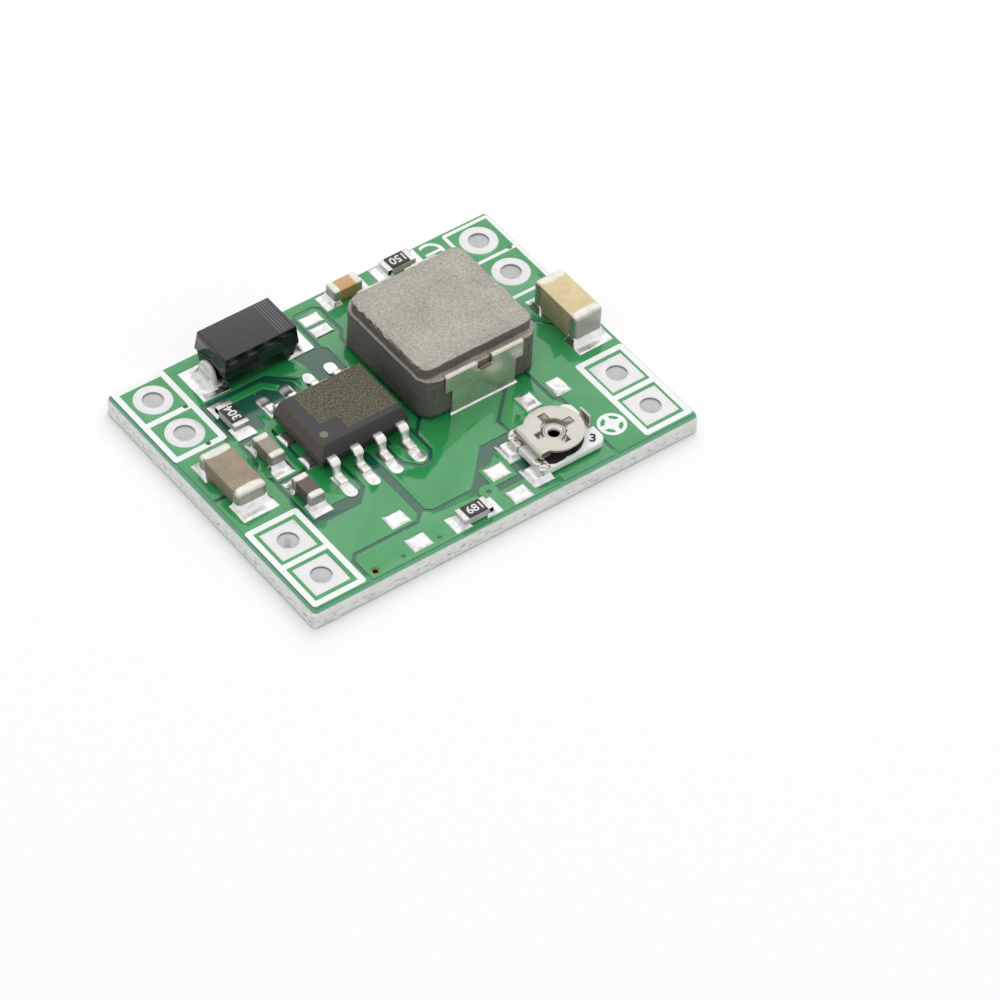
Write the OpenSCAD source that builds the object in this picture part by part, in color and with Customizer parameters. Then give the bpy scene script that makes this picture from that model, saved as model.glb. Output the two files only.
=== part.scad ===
// Step-down converter module: a scored circuit board with its parts soldered on the upper face.
// Millimetres. The origin is the middle of the eight terminal holes, on the underside of the board.
// +X runs along the long edge towards the output holes, +Y towards the rear edge, +Z up.

/* [Board] */
// Length of the board at its upper face
board_l = 21.55; // [20:0.05:26]
// Width of the board at its upper face
board_w = 16.35; // [15:0.05:20]
// Finished thickness with copper and mask
board_t = 1.0; // [0.8:0.1:1.6]
// Radius of the board's four corners
board_corner_r = 0.3; // [0.1:0.05:0.6]
// Depth of each score groove
score_depth = 0.3; // [0.15:0.05:0.35]
// How far the broken web stands out past the score
score_web = 0.08; // [0.02:0.01:0.15]

/* [Copper and mask] */
// Copper thickness
copper_t = 0.035; // [0.03:0.005:0.07]
// Solder mask thickness
mask_t = 0.025; // [0.015:0.005:0.03]
// Bare border along the front and the left edge, and half of it along the right one
copper_border = 0.28; // [0.2:0.01:0.28]
// Bare border along the rear edge
rear_border = 0.06; // [0.04:0.01:0.07]
// Width of the mask's step beside each copper edge
mask_step = 0.03; // [0.02:0.01:0.05]
// Width of a narrow channel between two pours
channel_w = 0.25; // [0.2:0.01:0.3]
// Width of the wide channel between the controller's pours
wide_channel_w = 0.52; // [0.4:0.02:0.6]
// Width of a thin trace
trace_w = 0.32; // [0.25:0.01:0.4]
// Width of a broad trace
broad_trace_w = 0.65; // [0.5:0.05:0.8]
// Outer radius of the copper ring round the feedback via
feedback_ring_r = 0.42; // [0.36:0.02:0.46]
// Height of the white print above the mask
print_t = 0.015; // [0.01:0.005:0.03]

/* [Terminal holes] */
// Finished hole diameter
hole_d = 1.0; // [0.8:0.05:1.1]
// Pitch of the two holes of one pair
hole_pitch = 2.54; // [2.5:0.01:2.6]
// Distance from the left edge to the middle of a hole
left_margin = 1.65; // [1.4:0.01:1.7]
// Distance from the right edge to the middle of a hole
right_margin = 1.4; // [1.3:0.01:1.6]
// Distance from the front edge to the middle of the nearest holes
front_margin = 1.805; // [1.6:0.005:2]
// Distance from the rear edge to the middle of the nearest holes
rear_margin = 1.355; // [1.2:0.005:1.5]
// Diameter of the round pads at the rear
round_pad_d = 1.88; // [1.6:0.02:2]
// Side of the square pads at the front
square_pad = 1.89; // [1.6:0.01:2]
// Wall of a plated barrel
plating_t = 0.03; // [0.025:0.005:0.05]
// Finished diameter of a via
via_d = 0.26; // [0.2:0.02:0.3]
// Diameter of the bare ring round the one open via
open_via_pad = 0.44; // [0.4:0.02:0.5]

/* [White print] */
// Width of the thick frame lines
frame_line = 0.3; // [0.2:0.02:0.36]
// Width of the thin frame lines of the rear right frame
thin_frame_line = 0.18; // [0.14:0.02:0.24]
// Outer radius of a frame's corners
frame_corner_r = 0.16; // [0.1:0.02:0.2]
// Outer radius of the plus and minus marks
mark_r = 0.7; // [0.6:0.02:0.74]
// Width of the ring of a mark
mark_ring = 0.17; // [0.12:0.01:0.22]
// Width of the bars of a mark
mark_bar = 0.27; // [0.2:0.01:0.32]

/* [Chip parts] */
// Length of a small chip
small_l = 1.6; // [1.5:0.05:1.7]
// Width of a small chip
small_w = 0.8; // [0.7:0.05:0.9]
// Height of a small capacitor
small_cap_h = 0.78; // [0.6:0.02:0.9]
// Length of a large capacitor
large_l = 3.2; // [3:0.05:3.4]
// Width of a large capacitor
large_w = 1.6; // [1.5:0.05:1.7]
// Height of the input capacitor
input_cap_h = 0.95; // [0.8:0.05:1.6]
// Height of the output capacitor
output_cap_h = 1.62; // [0.9:0.02:1.7]
// Width of the end caps on a small chip
small_band = 0.36; // [0.25:0.01:0.45]
// Width of the end caps on a large capacitor
large_band = 0.52; // [0.4:0.02:0.7]
// Wall of an end cap
end_wall = 0.03; // [0.02:0.005:0.04]
// Height of a resistor's ceramic chip
resistor_h = 0.42; // [0.35:0.01:0.55]
// Thickness of a resistor's glazed element
element_t = 0.04; // [0.03:0.005:0.06]
// Width of a resistor's top bands
resistor_band = 0.29; // [0.2:0.01:0.35]
// Solder between a chip and its lands
solder_t = 0.02; // [0.01:0.01:0.04]
// Outer length of a small pair of lands
small_span = 2.58; // [2.4:0.02:2.7]
// Width of a small land
small_land_w = 1.06; // [0.9:0.02:1.2]
// Length of a small land
small_land_l = 0.88; // [0.8:0.02:0.95]
// Outer length of the tiny spare pair of lands
tiny_span = 1.5; // [1.4:0.05:1.6]
// Length of a tiny land
tiny_land_l = 0.68; // [0.6:0.02:0.7]
// Outer length of a large pair of lands
large_span = 4.25; // [4:0.05:4.5]
// Width of a large land
large_land_w = 1.95; // [1.7:0.05:2.1]
// Length of a large land
large_land_l = 1.25; // [1:0.05:1.4]

/* [Solder fillets] */
// Run of the solder at a large capacitor
large_run = 0.32; // [0.2:0.01:0.36]
// Rise of the solder at a large capacitor
large_rise = 0.62; // [0.4:0.02:0.8]
// Run of the solder at a small chip
small_run = 0.32; // [0.2:0.01:0.36]
// Rise of the solder at a small chip
small_rise = 0.33; // [0.2:0.01:0.4]
// Run of the solder at a controller lead
toe_run = 0.45; // [0.3:0.01:0.6]
// Rise of the solder at a controller lead
toe_rise = 0.18; // [0.1:0.01:0.2]
// Run of the solder at the diode
diode_run = 0.5; // [0.3:0.01:0.6]
// Rise of the solder at the diode
diode_rise = 0.6; // [0.3:0.01:0.9]
// Run of the solder at the inductor
clip_run = 0.06; // [0.04:0.01:0.07]
// Rise of the solder at the inductor
clip_rise = 0.1; // [0.06:0.01:0.14]

/* [Controller] */
// Length of the body along its rows of leads
ctrl_l = 4.9; // [4.8:0.05:5]
// Width of the body
ctrl_w = 3.9; // [3.8:0.05:4]
// Height of the top above the board
ctrl_h = 1.6; // [1.4:0.05:1.75]
// Gap under the body
ctrl_gap = 0.12; // [0.1:0.02:0.25]
// Inset of the top face from the parting line
ctrl_draft = 0.25; // [0.1:0.01:0.3]
// Pitch of the leads
lead_pitch = 1.27; // [1.25:0.01:1.28]
// Width of a lead
lead_w = 0.42; // [0.35:0.01:0.48]
// Thickness of a lead
lead_t = 0.2; // [0.15:0.01:0.24]
// How far a toe stands out from the body's side
lead_reach = 1.05; // [0.95:0.01:1.2]
// How far a lead's land reaches past the toe
lead_land_reach = 0.8; // [0.6:0.05:0.9]
// Width of a lead's land
lead_land_w = 0.62; // [0.55:0.01:0.7]
// Length of a lead's land
lead_land_l = 1.55; // [1.3:0.05:1.7]

/* [Diode] */
// Length of the body at its parting line
diode_l = 4.15; // [4:0.05:4.4]
// Width of the body at its parting line
diode_w = 2.5; // [2.3:0.05:2.8]
// Height of the top above the board
diode_h = 2.1; // [1.9:0.05:2.3]
// Height of the parting line above the board
diode_parting = 1.05; // [0.9:0.05:1.2]
// Inset of the top face from the parting line
diode_draft = 0.1; // [0.04:0.01:0.15]
// Width of a diode lead
diode_lead_w = 1.45; // [1.2:0.05:1.6]
// Thickness of a diode lead
diode_lead_t = 0.18; // [0.12:0.01:0.22]
// Outer length of the diode's pair of lands
diode_span = 6.2; // [6:0.05:6.6]
// Width of a diode land
diode_land_w = 2.15; // [1.7:0.05:2.4]
// Length of a diode land
diode_land_l = 1.5; // [1.2:0.05:1.7]

/* [Inductor] */
// Size of the core from left to right
core_l = 6.63; // [6.4:0.01:6.8]
// Size of the core from front to rear
core_w = 6.65; // [6.4:0.05:6.8]
// Height of the core's top above the board
core_h = 3.0; // [2.8:0.05:3.2]
// Height of the ledge above the board
ledge_h = 2.4; // [2.2:0.05:2.5]
// Width of the ledge at the front and the rear
ledge_y = 0.35; // [0.25:0.01:0.45]
// Width of the ledge at the sides
ledge_x = 0.13; // [0.08:0.01:0.2]
// Corner radius of the core below the ledge
core_r = 0.9; // [0.6:0.05:1.1]
// Corner radius of the core above the ledge
top_r = 0.55; // [0.4:0.05:0.8]
// Thickness of a terminal
clip_t = 0.12; // [0.1:0.01:0.15]
// Width of a terminal's arms
clip_arm_w = 4.4; // [4:0.05:4.6]
// Width of a terminal's lower plate
clip_plate_w = 3.6; // [3.2:0.05:3.8]
// Width of the gap between a terminal's arms
clip_gap_w = 0.8; // [0.6:0.05:1]
// Height of the arms' lower edge above the board
clip_arm_z = 1.5; // [1.2:0.05:1.7]
// Height of the notch floor between the arms
clip_notch_z = 2.05; // [1.9:0.05:2.1]
// Length of the foot under the core
clip_foot = 1.2; // [0.8:0.05:1.6]
// How far a terminal is hooked over the ledge
clip_hook = 0.2; // [0.12:0.01:0.24]
// How far an inductor land reaches past the terminal
clip_heel = 0.07; // [0.05:0.01:0.12]
// Diameter of the winding's wire
wire_d = 0.3; // [0.26:0.01:0.33]
// Turns in each layer of the winding
turns = 3; // [2:1:3]
// Layers in the winding
layers = 4; // [3:1:4]
// Inner radius of the winding
winding_r = 1.2; // [1:0.05:1.4]

/* [Trimmer] */
// Length of the ceramic base
base_l = 3.65; // [3.5:0.05:3.8]
// Width of the ceramic base
base_w = 2.95; // [2.9:0.05:3.1]
// Height of the base's underside above the board
base_z = 0.12; // [0.1:0.01:0.16]
// Thickness of the base
base_t = 0.36; // [0.3:0.01:0.4]
// Corner radius of the base
base_r = 0.45; // [0.3:0.05:0.6]
// Inner radius of the track
track_ri = 0.85; // [0.8:0.01:0.9]
// Outer radius of the track
track_ro = 1.4; // [1.3:0.01:1.42]
// Distance from the pivot to the track's straight front side
track_front = 1.39; // [1.3:0.01:1.4]
// Width of the track's opening between its two ends
track_opening = 0.7; // [0.5:0.05:0.9]
// Thickness of the track
track_t = 0.02; // [0.01:0.005:0.03]
// Radius of the rotor's top plate
rotor_r = 1.42; // [1.35:0.01:1.44]
// Distance from the pivot to the outside of the fold
fold_reach = 1.55; // [1.5:0.01:1.58]
// Width of the fold
fold_w = 2.0; // [1.8:0.05:2.1]
// Height of the rotor's upper face above the board
rotor_h = 1.02; // [1:0.01:1.06]
// Thickness of the rotor's sheet
rotor_t = 0.09; // [0.08:0.005:0.1]
// Outside radius of the fold
fold_ro = 0.19; // [0.185:0.005:0.2]
// Width of the rotor's lower arm
arm_w = 0.9; // [0.8:0.05:1]
// Radius of the arm's ring round the eyelet
arm_ring_r = 0.6; // [0.55:0.01:0.65]
// Width of the arm's tongue over the track
tongue_w = 0.4; // [0.3:0.02:0.5]
// Distance from the pivot to the contact nib
nib_reach = 1.12; // [1.05:0.01:1.2]
// Radius of the contact nib
nib_r = 0.12; // [0.08:0.01:0.14]
// Width of the cross slot's arms
slot_w = 0.42; // [0.35:0.01:0.46]
// Tip to tip length of the cross slot
slot_l = 2.05; // [1.9:0.05:2.1]
// Radius of the opening in the middle of the slot
slot_r = 0.62; // [0.58:0.01:0.66]
// Outer radius of the eyelet's barrel
eyelet_r = 0.3; // [0.26:0.01:0.32]
// Bore of the eyelet
eyelet_d = 0.38; // [0.34:0.01:0.4]
// Radius of the eyelet's rolled head
eyelet_head_r = 0.42; // [0.4:0.01:0.46]
// Thickness of the eyelet's rolled head
eyelet_head_t = 0.08; // [0.06:0.01:0.1]
// Running clearance round the eyelet
rotor_clearance = 0.03; // [0.02:0.005:0.05]
// Height of the stop tab above the board
tab_h = 1.15; // [1.05:0.05:1.2]
// Width of the stop tab
tab_w = 0.75; // [0.6:0.05:0.8]
// Thickness of the terminals' sheet
sheet_t = 0.1; // [0.08:0.01:0.12]
// Width of an end terminal
crimp_w = 0.85; // [0.7:0.05:0.95]
// How far an end terminal is crimped over the base
crimp_over = 0.5; // [0.3:0.02:0.54]
// How far its toe stands out beside the base
crimp_toe = 0.35; // [0.25:0.05:0.45]
// Length of its foot
crimp_foot = 0.95; // [0.8:0.05:1.1]
// Width of an end terminal's land
crimp_land_w = 1.28; // [1.1:0.02:1.4]
// Length of an end terminal's land
crimp_land_l = 1.15; // [1:0.05:1.3]

/* [Places, measured from the holes' middle] */
// Middle of the input capacitor's lands
input_cap_at = [-9.28, 0.02];
// How far the input capacitor sits to the rear of them
input_cap_nudge = 0.2; // [0:0.05:0.25]
// Middle of the output capacitor's lands
output_cap_at = [9.5, -0.07];
// How far the output capacitor sits to the rear of them
output_cap_nudge = 0.13; // [0:0.01:0.2]
// Middle of the enable capacitor's lands
enable_cap_at = [-6.99, 0.53];
// How far the enable capacitor sits to the rear of them
enable_cap_nudge = 0.14; // [0:0.01:0.2]
// Middle of the boost capacitor's lands
boost_cap_at = [-6.98, -2.38];
// Middle of the filter capacitor's lands
filter_cap_at = [1.92, 7.25];
// Middle of the left resistor's lands
left_res_at = [-7.03, 3.48];
// Middle of the rear resistor's lands
rear_res_at = [5.04, 7.35];
// Middle of the front resistor's lands
front_res_at = [-1.53, -7.54];
// Middle of the controller
ctrl_at = [-3.29, 0.25];
// Middle of the diode
diode_at = [-4.32, 6.22];
// Middle of the inductor
core_at = [3.24, 1.575];
// Axis of the trimmer's rotor
pivot = [4.1, -6.0];
// Middle of the trimmer's base, seen from the rotor's axis
base_offset = [0.08, -0.07];
// Middles of the three spare pairs that run front to rear
spare_upright = [[-4.53, -6.63], [0.95, -6.82], [-5.47, 0.24]];
// Middle of the spare pair that runs left to right
spare_across = [5.63, -3.22];
// Middle of the small spare pair beside the diode
spare_small = [-0.32, 6.3];
// Via between the front resistor and the trimmer, with a round ring of copper
feedback_via = [-0.1, -6.75];
// Vias under the mask
closed_vias = [feedback_via, [-8.28, 5.4], [-8.75, 2.9], [10.15, 5.4], [10.2, 3.05], [-5.6, -7.78],
    [-3.58, -7.78], [3.8, -3.7]];
// Via left open in the mask
open_via = [-7.15, -7.78];
// Middle of the plus mark
plus_at = [7.05, -6.55];
// Middle of the minus mark
minus_at = [6.88, 7.12];
// Printed frames: which pair of holes, and the left, front, right and rear edge seen from its middle
frames = [[[-1, 1], [-1.45, -2.65, 1.43, 2.62]], [[-1, -1], [-1.43, -2.74, 1.46, 2.7]],
    [[1, -1], [-1.37, -2.72, 1.35, 2.7]]];
// The frame with thin lines, given in the same way
thin_frame = [[1, 1], [-1.34, -2.85, 1.35, 2.47]];

/* [Hidden] */
$fn = 48;

// A little extra for cuts that run through a face
over = 0.1;

// Bare channels between the pours, each given by its middle line
channels = [
    // round the chip parts at the left
    [[-7.68, 4.85], [-7.68, 2.95], [-8.05, 2.45]],
    [[-7.62, 2.05], [-7.68, 0.6], [-8.02, 0.25], [-8.6, -0.25], [-11.2, -0.25]],
    [[-7.7, -0.3], [-7.7, -3.9], [-7.5, -4.0], [-5.3, -4.0], [-4.6, -3.3], [-4.6, -1.6]],
    [[-7.7, -0.98], [-6.2, -0.98], [-5.9, -0.7], [-5.9, 2.4]],
    [[-7.68, 2.05], [-6.4, 2.05], [-5.95, 2.35]],
    // front left
    [[-7.62, -8.3], [-7.62, -6.75], [-7.3, -6.45], [-3.85, -6.45], [-3.33, -5.95]],
    [[-3.2, -6.0], [-2.85, -6.28], [-0.6, -6.28]],
    [[-0.6, -6.2], [-0.6, -6.95]],
    // beside the trimmer and in front of the inductor
    [[2.9, -4.3], [2.9, -3.45], [4.3, -2.05], [5.5, -1.0]],
    [[5.8, -0.8], [5.8, -3.75], [6.12, -3.85], [6.12, -8.4]],
    [[1.85, -7.9], [3.05, -7.9], [3.05, -8.4]],
    // round the fourth lead of the controller
    [[-2.25, -1.7], [-2.25, -3.05], [-1.62, -3.74], [-1.15, -3.74], [-0.68, -3.1], [-0.68, -2.0],
        [0.3, -1.0]],
    // between the output pours, under the inductor and the output capacitor
    [[5.5, -1.0], [6.2, -0.4], [7.9, 1.05], [8.75, 0.2], [11, 0.2]],
    // behind the controller
    [[-7.7, 4.95], [-4.2, 4.95], [-3.0, 3.85]],
    [[-1.02, 5.0], [-1.02, 7.2], [-0.85, 7.35], [0.2, 7.35], [0.45, 7.1], [0.45, 5.4], [0.12, 4.95],
        [0.12, 0.9]],
    // under the controller, between its leads
    [[-4.6, -1.7], [-4.6, 3.1]],
    [[-3.33, -1.6], [-3.33, 3.1]],
    [[-2.03, -1.9], [-2.03, 3.3]],
    [[-4.6, 0.3], [-0.9, 0.3], [-0.68, 0.1], [-0.68, -2.0]],
    [[-0.9, 0.3], [-0.9, 3.3]],
    // under the inductor, between its two lands
    [[0.3, -1.0], [0.12, 0.9], [4.9, 0.9], [5.5, -1.0]]];
// Middle line of the wide channel in front of the controller
wide_channel = [[-3.33, -6.1], [-3.33, -1.5]];
// Larger bare fields, each outline run anticlockwise
bare_fields = [
    // in front of the boost capacitor
    [[-7.7, -4.0], [-5.3, -4.0], [-4.65, -3.3], [-5.55, -3.35], [-6.3, -3.35], [-7.7, -3.72]],
    // left of the trimmer and between its two left-hand lands
    [[-0.72, -6.6], [0.25, -7.05], [1.75, -7.05], [1.75, -6.6], [0.3, -6.6], [0.3, -5.45], [1.0, -5.45],
        [1.4, -5.05], [1.75, -4.95], [3.0, -4.95], [3.0, -4.2], [1.25, -4.2], [-0.5, -6.0], [-0.72, -6.15]],
    [[1.6, -6.7], [3.1, -6.7], [3.1, -5.95], [1.6, -5.95]],
    // round the left resistor
    [[-7.68, 2.1], [-5.9, 2.1], [-5.9, 3.0], [-3.3, 3.0], [-3.3, 4.0], [-4.25, 4.95], [-7.68, 4.95]],
    // behind the fourth rear lead
    [[-0.72, 3.2], [-0.72, 4.85], [-0.95, 5.05], [-0.95, 5.3], [-2.5, 5.3], [-2.35, 4.4], [-2.35, 3.2]]];
// Middle lines of the thin traces that cross the bare ground
thin_traces = [
    [[-8.3, 1.9], [-7.3, 2.6]],
    [[-8.5, 0.22], [-7.2, -0.5]],
    [[-6.9, 4.55], [-4.65, 4.55], [-3.93, 3.8]],
    [[-6.9, 2.6], [-6.2, 1.9], [-5.2, 2.9], [-5.2, 3.6]]];
// Middle lines of the broad ones
broad_traces = [
    [[-6.9, -3.0], [-5.2, -3.0]],
    [feedback_via, [0.0, -7.6]]];
// Levels: underside 0, laminate between the two skins, upper face at board_t
skin_t = copper_t + mask_t;
core_z0 = skin_t;
core_z1 = board_t - skin_t;
copper_z1 = core_z1 + copper_t;
board_cx = (right_margin - left_margin) / 2;
board_cy = (rear_margin - front_margin) / 2;
left_edge = board_cx - board_l / 2;
right_edge = board_cx + board_l / 2;
front_edge = board_cy - board_w / 2;
rear_edge = board_cy + board_w / 2;

hole_x = (board_l - left_margin - right_margin) / 2;
hole_y_out = (board_w - front_margin - rear_margin) / 2;
hole_y_in = hole_y_out - hole_pitch;
// Places are given for outer holes at these distances from the middle, and spread with them
plan_hole = [9.25, 6.595];
spread = [hole_x / plan_hole.x, hole_y_out / plan_hole.y];
barrel_r = hole_d / 2 + plating_t;
via_r = via_d / 2 + plating_t;

large_joint_w = 0.96 * large_w;
small_joint_w = 0.96 * small_w;

body_h = core_h - ledge_h;
clip_y = core_w / 2 + clip_t;
core_land_l = clip_foot + 0.3;
core_land_w = clip_plate_w + 0.2;
fold_zm = rotor_h - fold_ro;
arm_top = fold_zm - fold_ro + rotor_t;
base_top = base_z + base_t;

// Controller leads: depth in the body, upper face where they leave it, bend, lean, and the straight
// piece outside the body
lead_in = 0.45;
ctrl_parting = ctrl_gap + (ctrl_h - ctrl_gap) / 2;
lead_z1 = ctrl_parting + lead_t / 2;
lead_bend_r = 0.12;
lead_lean = 74;
lead_shoulder = 0.01;
lead_span = ctrl_w + 2 * lead_reach;
lead_land_span = lead_span + 2 * lead_land_reach;

// Diode leads: gap under the body, depth in the body, outer leg and foot under the body
diode_gap = diode_lead_t + solder_t + 0.02;
diode_lead_in = 0.5;
diode_bend_r = 0.1;
diode_leg_x = diode_l / 2 + 0.05;
diode_foot = 1.1;

// Winding: width and lower face, and the flattened wire ends that leave through the notches
tail_w = 0.6;
tail_t = 0.1;
tail_z = clip_notch_z;
winding_w = layers * wire_d;
winding_top = tail_z + tail_t / 2;
winding_z = winding_top - turns * wire_d;
winding_gap = 0.02;

// Trimmer: stop tab and its land seen from the pivot, middles of the end terminals seen from the
// base, and how far the wiper's strip reaches past the pivot
tab_x = 1.66;
tab_y = -0.085;
tab_land_l = 0.7;
notch_gap = 0.025;
crimp_y = [0.79, -1.07];
strip_reach = 0.55;
running_gap = 0.01;

// ---------- flat building blocks ----------

// Rectangle with round corners
module rounded(l, w, r) {
    square([l - 2 * r, w], center = true);
    square([l, w - 2 * r], center = true);
    for (x = [-1, 1], y = [-1, 1])
        translate([x * (l / 2 - r), y * (w / 2 - r)]) circle(r);
}

// A place and a list of places, spread with the holes
function spread_out(p) = [p.x * spread.x, p.y * spread.y];
function all_spread(points) = [for (p = points) spread_out(p)];

// Points moved by d to the left of their path, with mitred corners; a closed path is its own neighbour
function moved_left(points, d, closed) =
    let (n = len(points), last = closed ? n - 1 : n - 2,
        left = [for (i = [0 : last]) let (s = points[(i + 1) % n] - points[i]) [-s.y, s.x] / norm(s)])
    [for (i = [0 : n - 1])
        let (a = left[closed ? (i + n - 1) % n : max(i - 1, 0)], b = left[min(i, last)],
            m = (a + b) / norm(a + b))
        points[i] + m * d / (m * a)];

// The same path with both ends drawn in by d
function drawn_in(points, d) =
    let (n = len(points), a = points[1] - points[0], b = points[n - 2] - points[n - 1])
    [for (i = [0 : n - 1])
        points[i] + (i == 0 ? d * a / norm(a) : i == n - 1 ? d * b / norm(b) : [0, 0])];

// Band of constant width along a path, made smaller all round by inset
module band(points, w, inset = 0) {
    path = drawn_in(points, inset);
    right = moved_left(path, inset - w / 2, false);
    polygon(concat(moved_left(path, w / 2 - inset, false),
        [for (i = [len(right) - 1 : -1 : 0]) right[i]]));
}

// A pair of lands along X: outer length, land length and land width
module land_pair(span, land_l, land_w) {
    for (side = [-1, 1])
        translate([side * (span - land_l) / 2, 0]) square([land_l, land_w], center = true);
}

// Land of one lead, round at its outer end, which lies at the origin and points along +Y
module lead_land() {
    translate([0, -lead_land_w / 2]) circle(lead_land_w / 2);
    translate([-lead_land_w / 2, -lead_land_l]) square([lead_land_w, lead_land_l - lead_land_w / 2]);
}

// Points of an arc
function arc(centre, r, from, to, steps = 8) =
    [for (i = [0 : steps]) centre + r * [cos(from + (to - from) * i / steps),
        sin(from + (to - from) * i / steps)]];

// ---------- where things stand on the board ----------

module at_terminal_holes(rows) {
    for (side = [-1, 1], y = rows) translate([side * hole_x, y]) children();
}

module at_rear_holes() { at_terminal_holes([hole_y_in, hole_y_out]) children(); }
module at_front_holes() { at_terminal_holes([-hole_y_in, -hole_y_out]) children(); }
module at_all_holes() {
    at_rear_holes() children();
    at_front_holes() children();
}

// A place in the plan of the board, which spreads with the holes
module in_plan(at, turn = 0) {
    translate(spread_out(at)) rotate(turn) children();
}

// The same place on the upper face; nudge moves a part along its own length
module on_board(at, turn = 0, nudge = 0) {
    translate([0, 0, board_t]) in_plan(at, turn) translate([nudge, 0, 0]) children();
}

module at_vias() {
    for (p = concat(closed_vias, [open_via])) in_plan(p) children();
}

// Both rows of controller leads; the child stands at a lead's middle line, pointing along +Y
module at_leads() {
    for (row = [0, 1], i = [-1.5 : 1.5])
        in_plan(ctrl_at, 180 * row) translate([i * lead_pitch, 0]) children();
}

module hole_pads() {
    at_rear_holes() circle(round_pad_d / 2);
    at_front_holes() square(square_pad, center = true);
}

// Every tinned land apart from the hole pads
module lands() {
    in_plan(input_cap_at, 90) land_pair(large_span, large_land_l, large_land_w);
    in_plan(output_cap_at, 90) land_pair(large_span, large_land_l, large_land_w);
    for (p = concat([enable_cap_at, boost_cap_at, left_res_at], spare_upright))
        in_plan(p, 90) land_pair(small_span, small_land_l, small_land_w);
    for (p = [filter_cap_at, rear_res_at, front_res_at, spare_across])
        in_plan(p) land_pair(small_span, small_land_l, small_land_w);
    in_plan(spare_small, 90) land_pair(tiny_span, tiny_land_l, small_land_w);
    at_leads() translate([0, lead_land_span / 2]) lead_land();
    in_plan(diode_at) land_pair(diode_span, diode_land_l, diode_land_w);
    in_plan(core_at, 90) land_pair(2 * (clip_y + clip_heel), core_land_l, core_land_w);
    in_plan(pivot) trimmer_lands();
}

// Lands of the trimmer, seen from its pivot: two at the left for the ends of the track, one at the tab
module trimmer_lands() {
    for (y = crimp_y)
        translate(base_offset + [-base_l / 2 - sheet_t / 2, y])
            square([crimp_land_l, crimp_land_w], center = true);
    translate([tab_x, tab_y]) square([tab_land_l, tab_w + over], center = true);
}

// ---------- copper ----------

// Bare ground between the pours, made smaller all round by inset
module bare(inset = 0) {
    for (path = channels) band(all_spread(path), channel_w, inset);
    band(all_spread(wide_channel), wide_channel_w, inset);
    for (outline = bare_fields) polygon(moved_left(all_spread(outline), inset, true));
}

module copper_outline(grow = 0) {
    x0 = left_edge + copper_border - grow;
    y0 = front_edge + copper_border - grow;
    translate([x0, y0])
        square([right_edge - copper_border / 2 + grow - x0, rear_edge - rear_border + grow - y0]);
}

// Thin traces that cross the bare ground
module traces(grow = 0) {
    for (path = thin_traces) band(all_spread(path), trace_w, -grow);
    for (path = broad_traces) band(all_spread(path), broad_trace_w, -grow);
    in_plan(feedback_via) circle(feedback_ring_r + grow);
}

// Copper of the upper face
module copper_plan(grow = 0) {
    difference() {
        copper_outline(grow);
        difference() {
            bare(grow);
            traces(grow);
            lands();
        }
    }
}

module board_plan() {
    translate([board_cx, board_cy]) rounded(board_l, board_w, board_corner_r);
}

// ---------- board ----------

// Section of the board across a pair of scored edges
module scored_section(w) {
    polygon([[-w / 2, board_t], [-w / 2 - score_web, board_t - score_depth],
        [-w / 2 - score_web, score_depth], [-w / 2, 0],
        [w / 2, 0], [w / 2 + score_web, score_depth],
        [w / 2 + score_web, board_t - score_depth], [w / 2, board_t]]);
}

module board_blank() {
    intersection() {
        translate([board_cx, board_cy + board_w, 0]) rotate([90, 0, 0])
            linear_extrude(2 * board_w) scored_section(board_l);
        translate([board_cx - board_l, board_cy, 0]) rotate([90, 0, 90])
            linear_extrude(2 * board_l) scored_section(board_w);
        translate([board_cx, board_cy, core_z0]) linear_extrude(core_z1 - core_z0)
            rounded(board_l + 2 * score_web, board_w + 2 * score_web, board_corner_r + score_web);
    }
}

module board_laminate() {
    color([0.78, 0.8, 0.7])
        difference() {
            board_blank();
            translate([0, 0, -over]) linear_extrude(board_t + 2 * over) {
                at_all_holes() circle(barrel_r);
                at_vias() circle(via_r);
            }
        }
}

module copper_top() {
    color([0.85, 0.55, 0.35])
        translate([0, 0, core_z1]) linear_extrude(copper_t)
            difference() {
                copper_plan();
                at_all_holes() circle(barrel_r);
                at_vias() circle(via_r);
            }
}

module copper_bottom() {
    color([0.85, 0.55, 0.35])
        translate([0, 0, mask_t]) linear_extrude(copper_t)
            difference() {
                lower_pour();
                at_all_holes() circle(barrel_r);
                at_vias() circle(via_r);
            }
}

// Pour of the lower face, with a bare ring round each square pad
module lower_pour() {
    difference() {
        translate([board_cx, board_cy])
            square([board_l - 2 * copper_border, board_w - 2 * copper_border], center = true);
        at_front_holes() difference() {
            square(square_pad + 4 * channel_w, center = true);
            square(square_pad + 2 * channel_w, center = true);
        }
    }
}

module solder_mask_top() {
    color([0.33, 0.66, 0.44])
        difference() {
            union() {
                translate([0, 0, core_z1]) linear_extrude(mask_t) board_plan();
                translate([0, 0, core_z1]) linear_extrude(skin_t) copper_plan(mask_step);
            }
            translate([0, 0, core_z1 - over]) linear_extrude(copper_t + over) copper_plan();
            translate([0, 0, core_z1 - over]) linear_extrude(skin_t + 2 * over) {
                hole_pads();
                lands();
                for (p = closed_vias) in_plan(p) circle(via_d / 2);
                in_plan(open_via) circle(open_via_pad / 2);
            }
        }
}

module solder_mask_bottom() {
    color([0.33, 0.66, 0.44])
        difference() {
            linear_extrude(skin_t) board_plan();
            translate([0, 0, mask_t]) linear_extrude(skin_t) lower_pour();
            translate([0, 0, -over]) linear_extrude(skin_t + 2 * over) {
                hole_pads();
                at_vias() circle(via_d / 2);
            }
        }
}

// ---------- white print ----------

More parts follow.
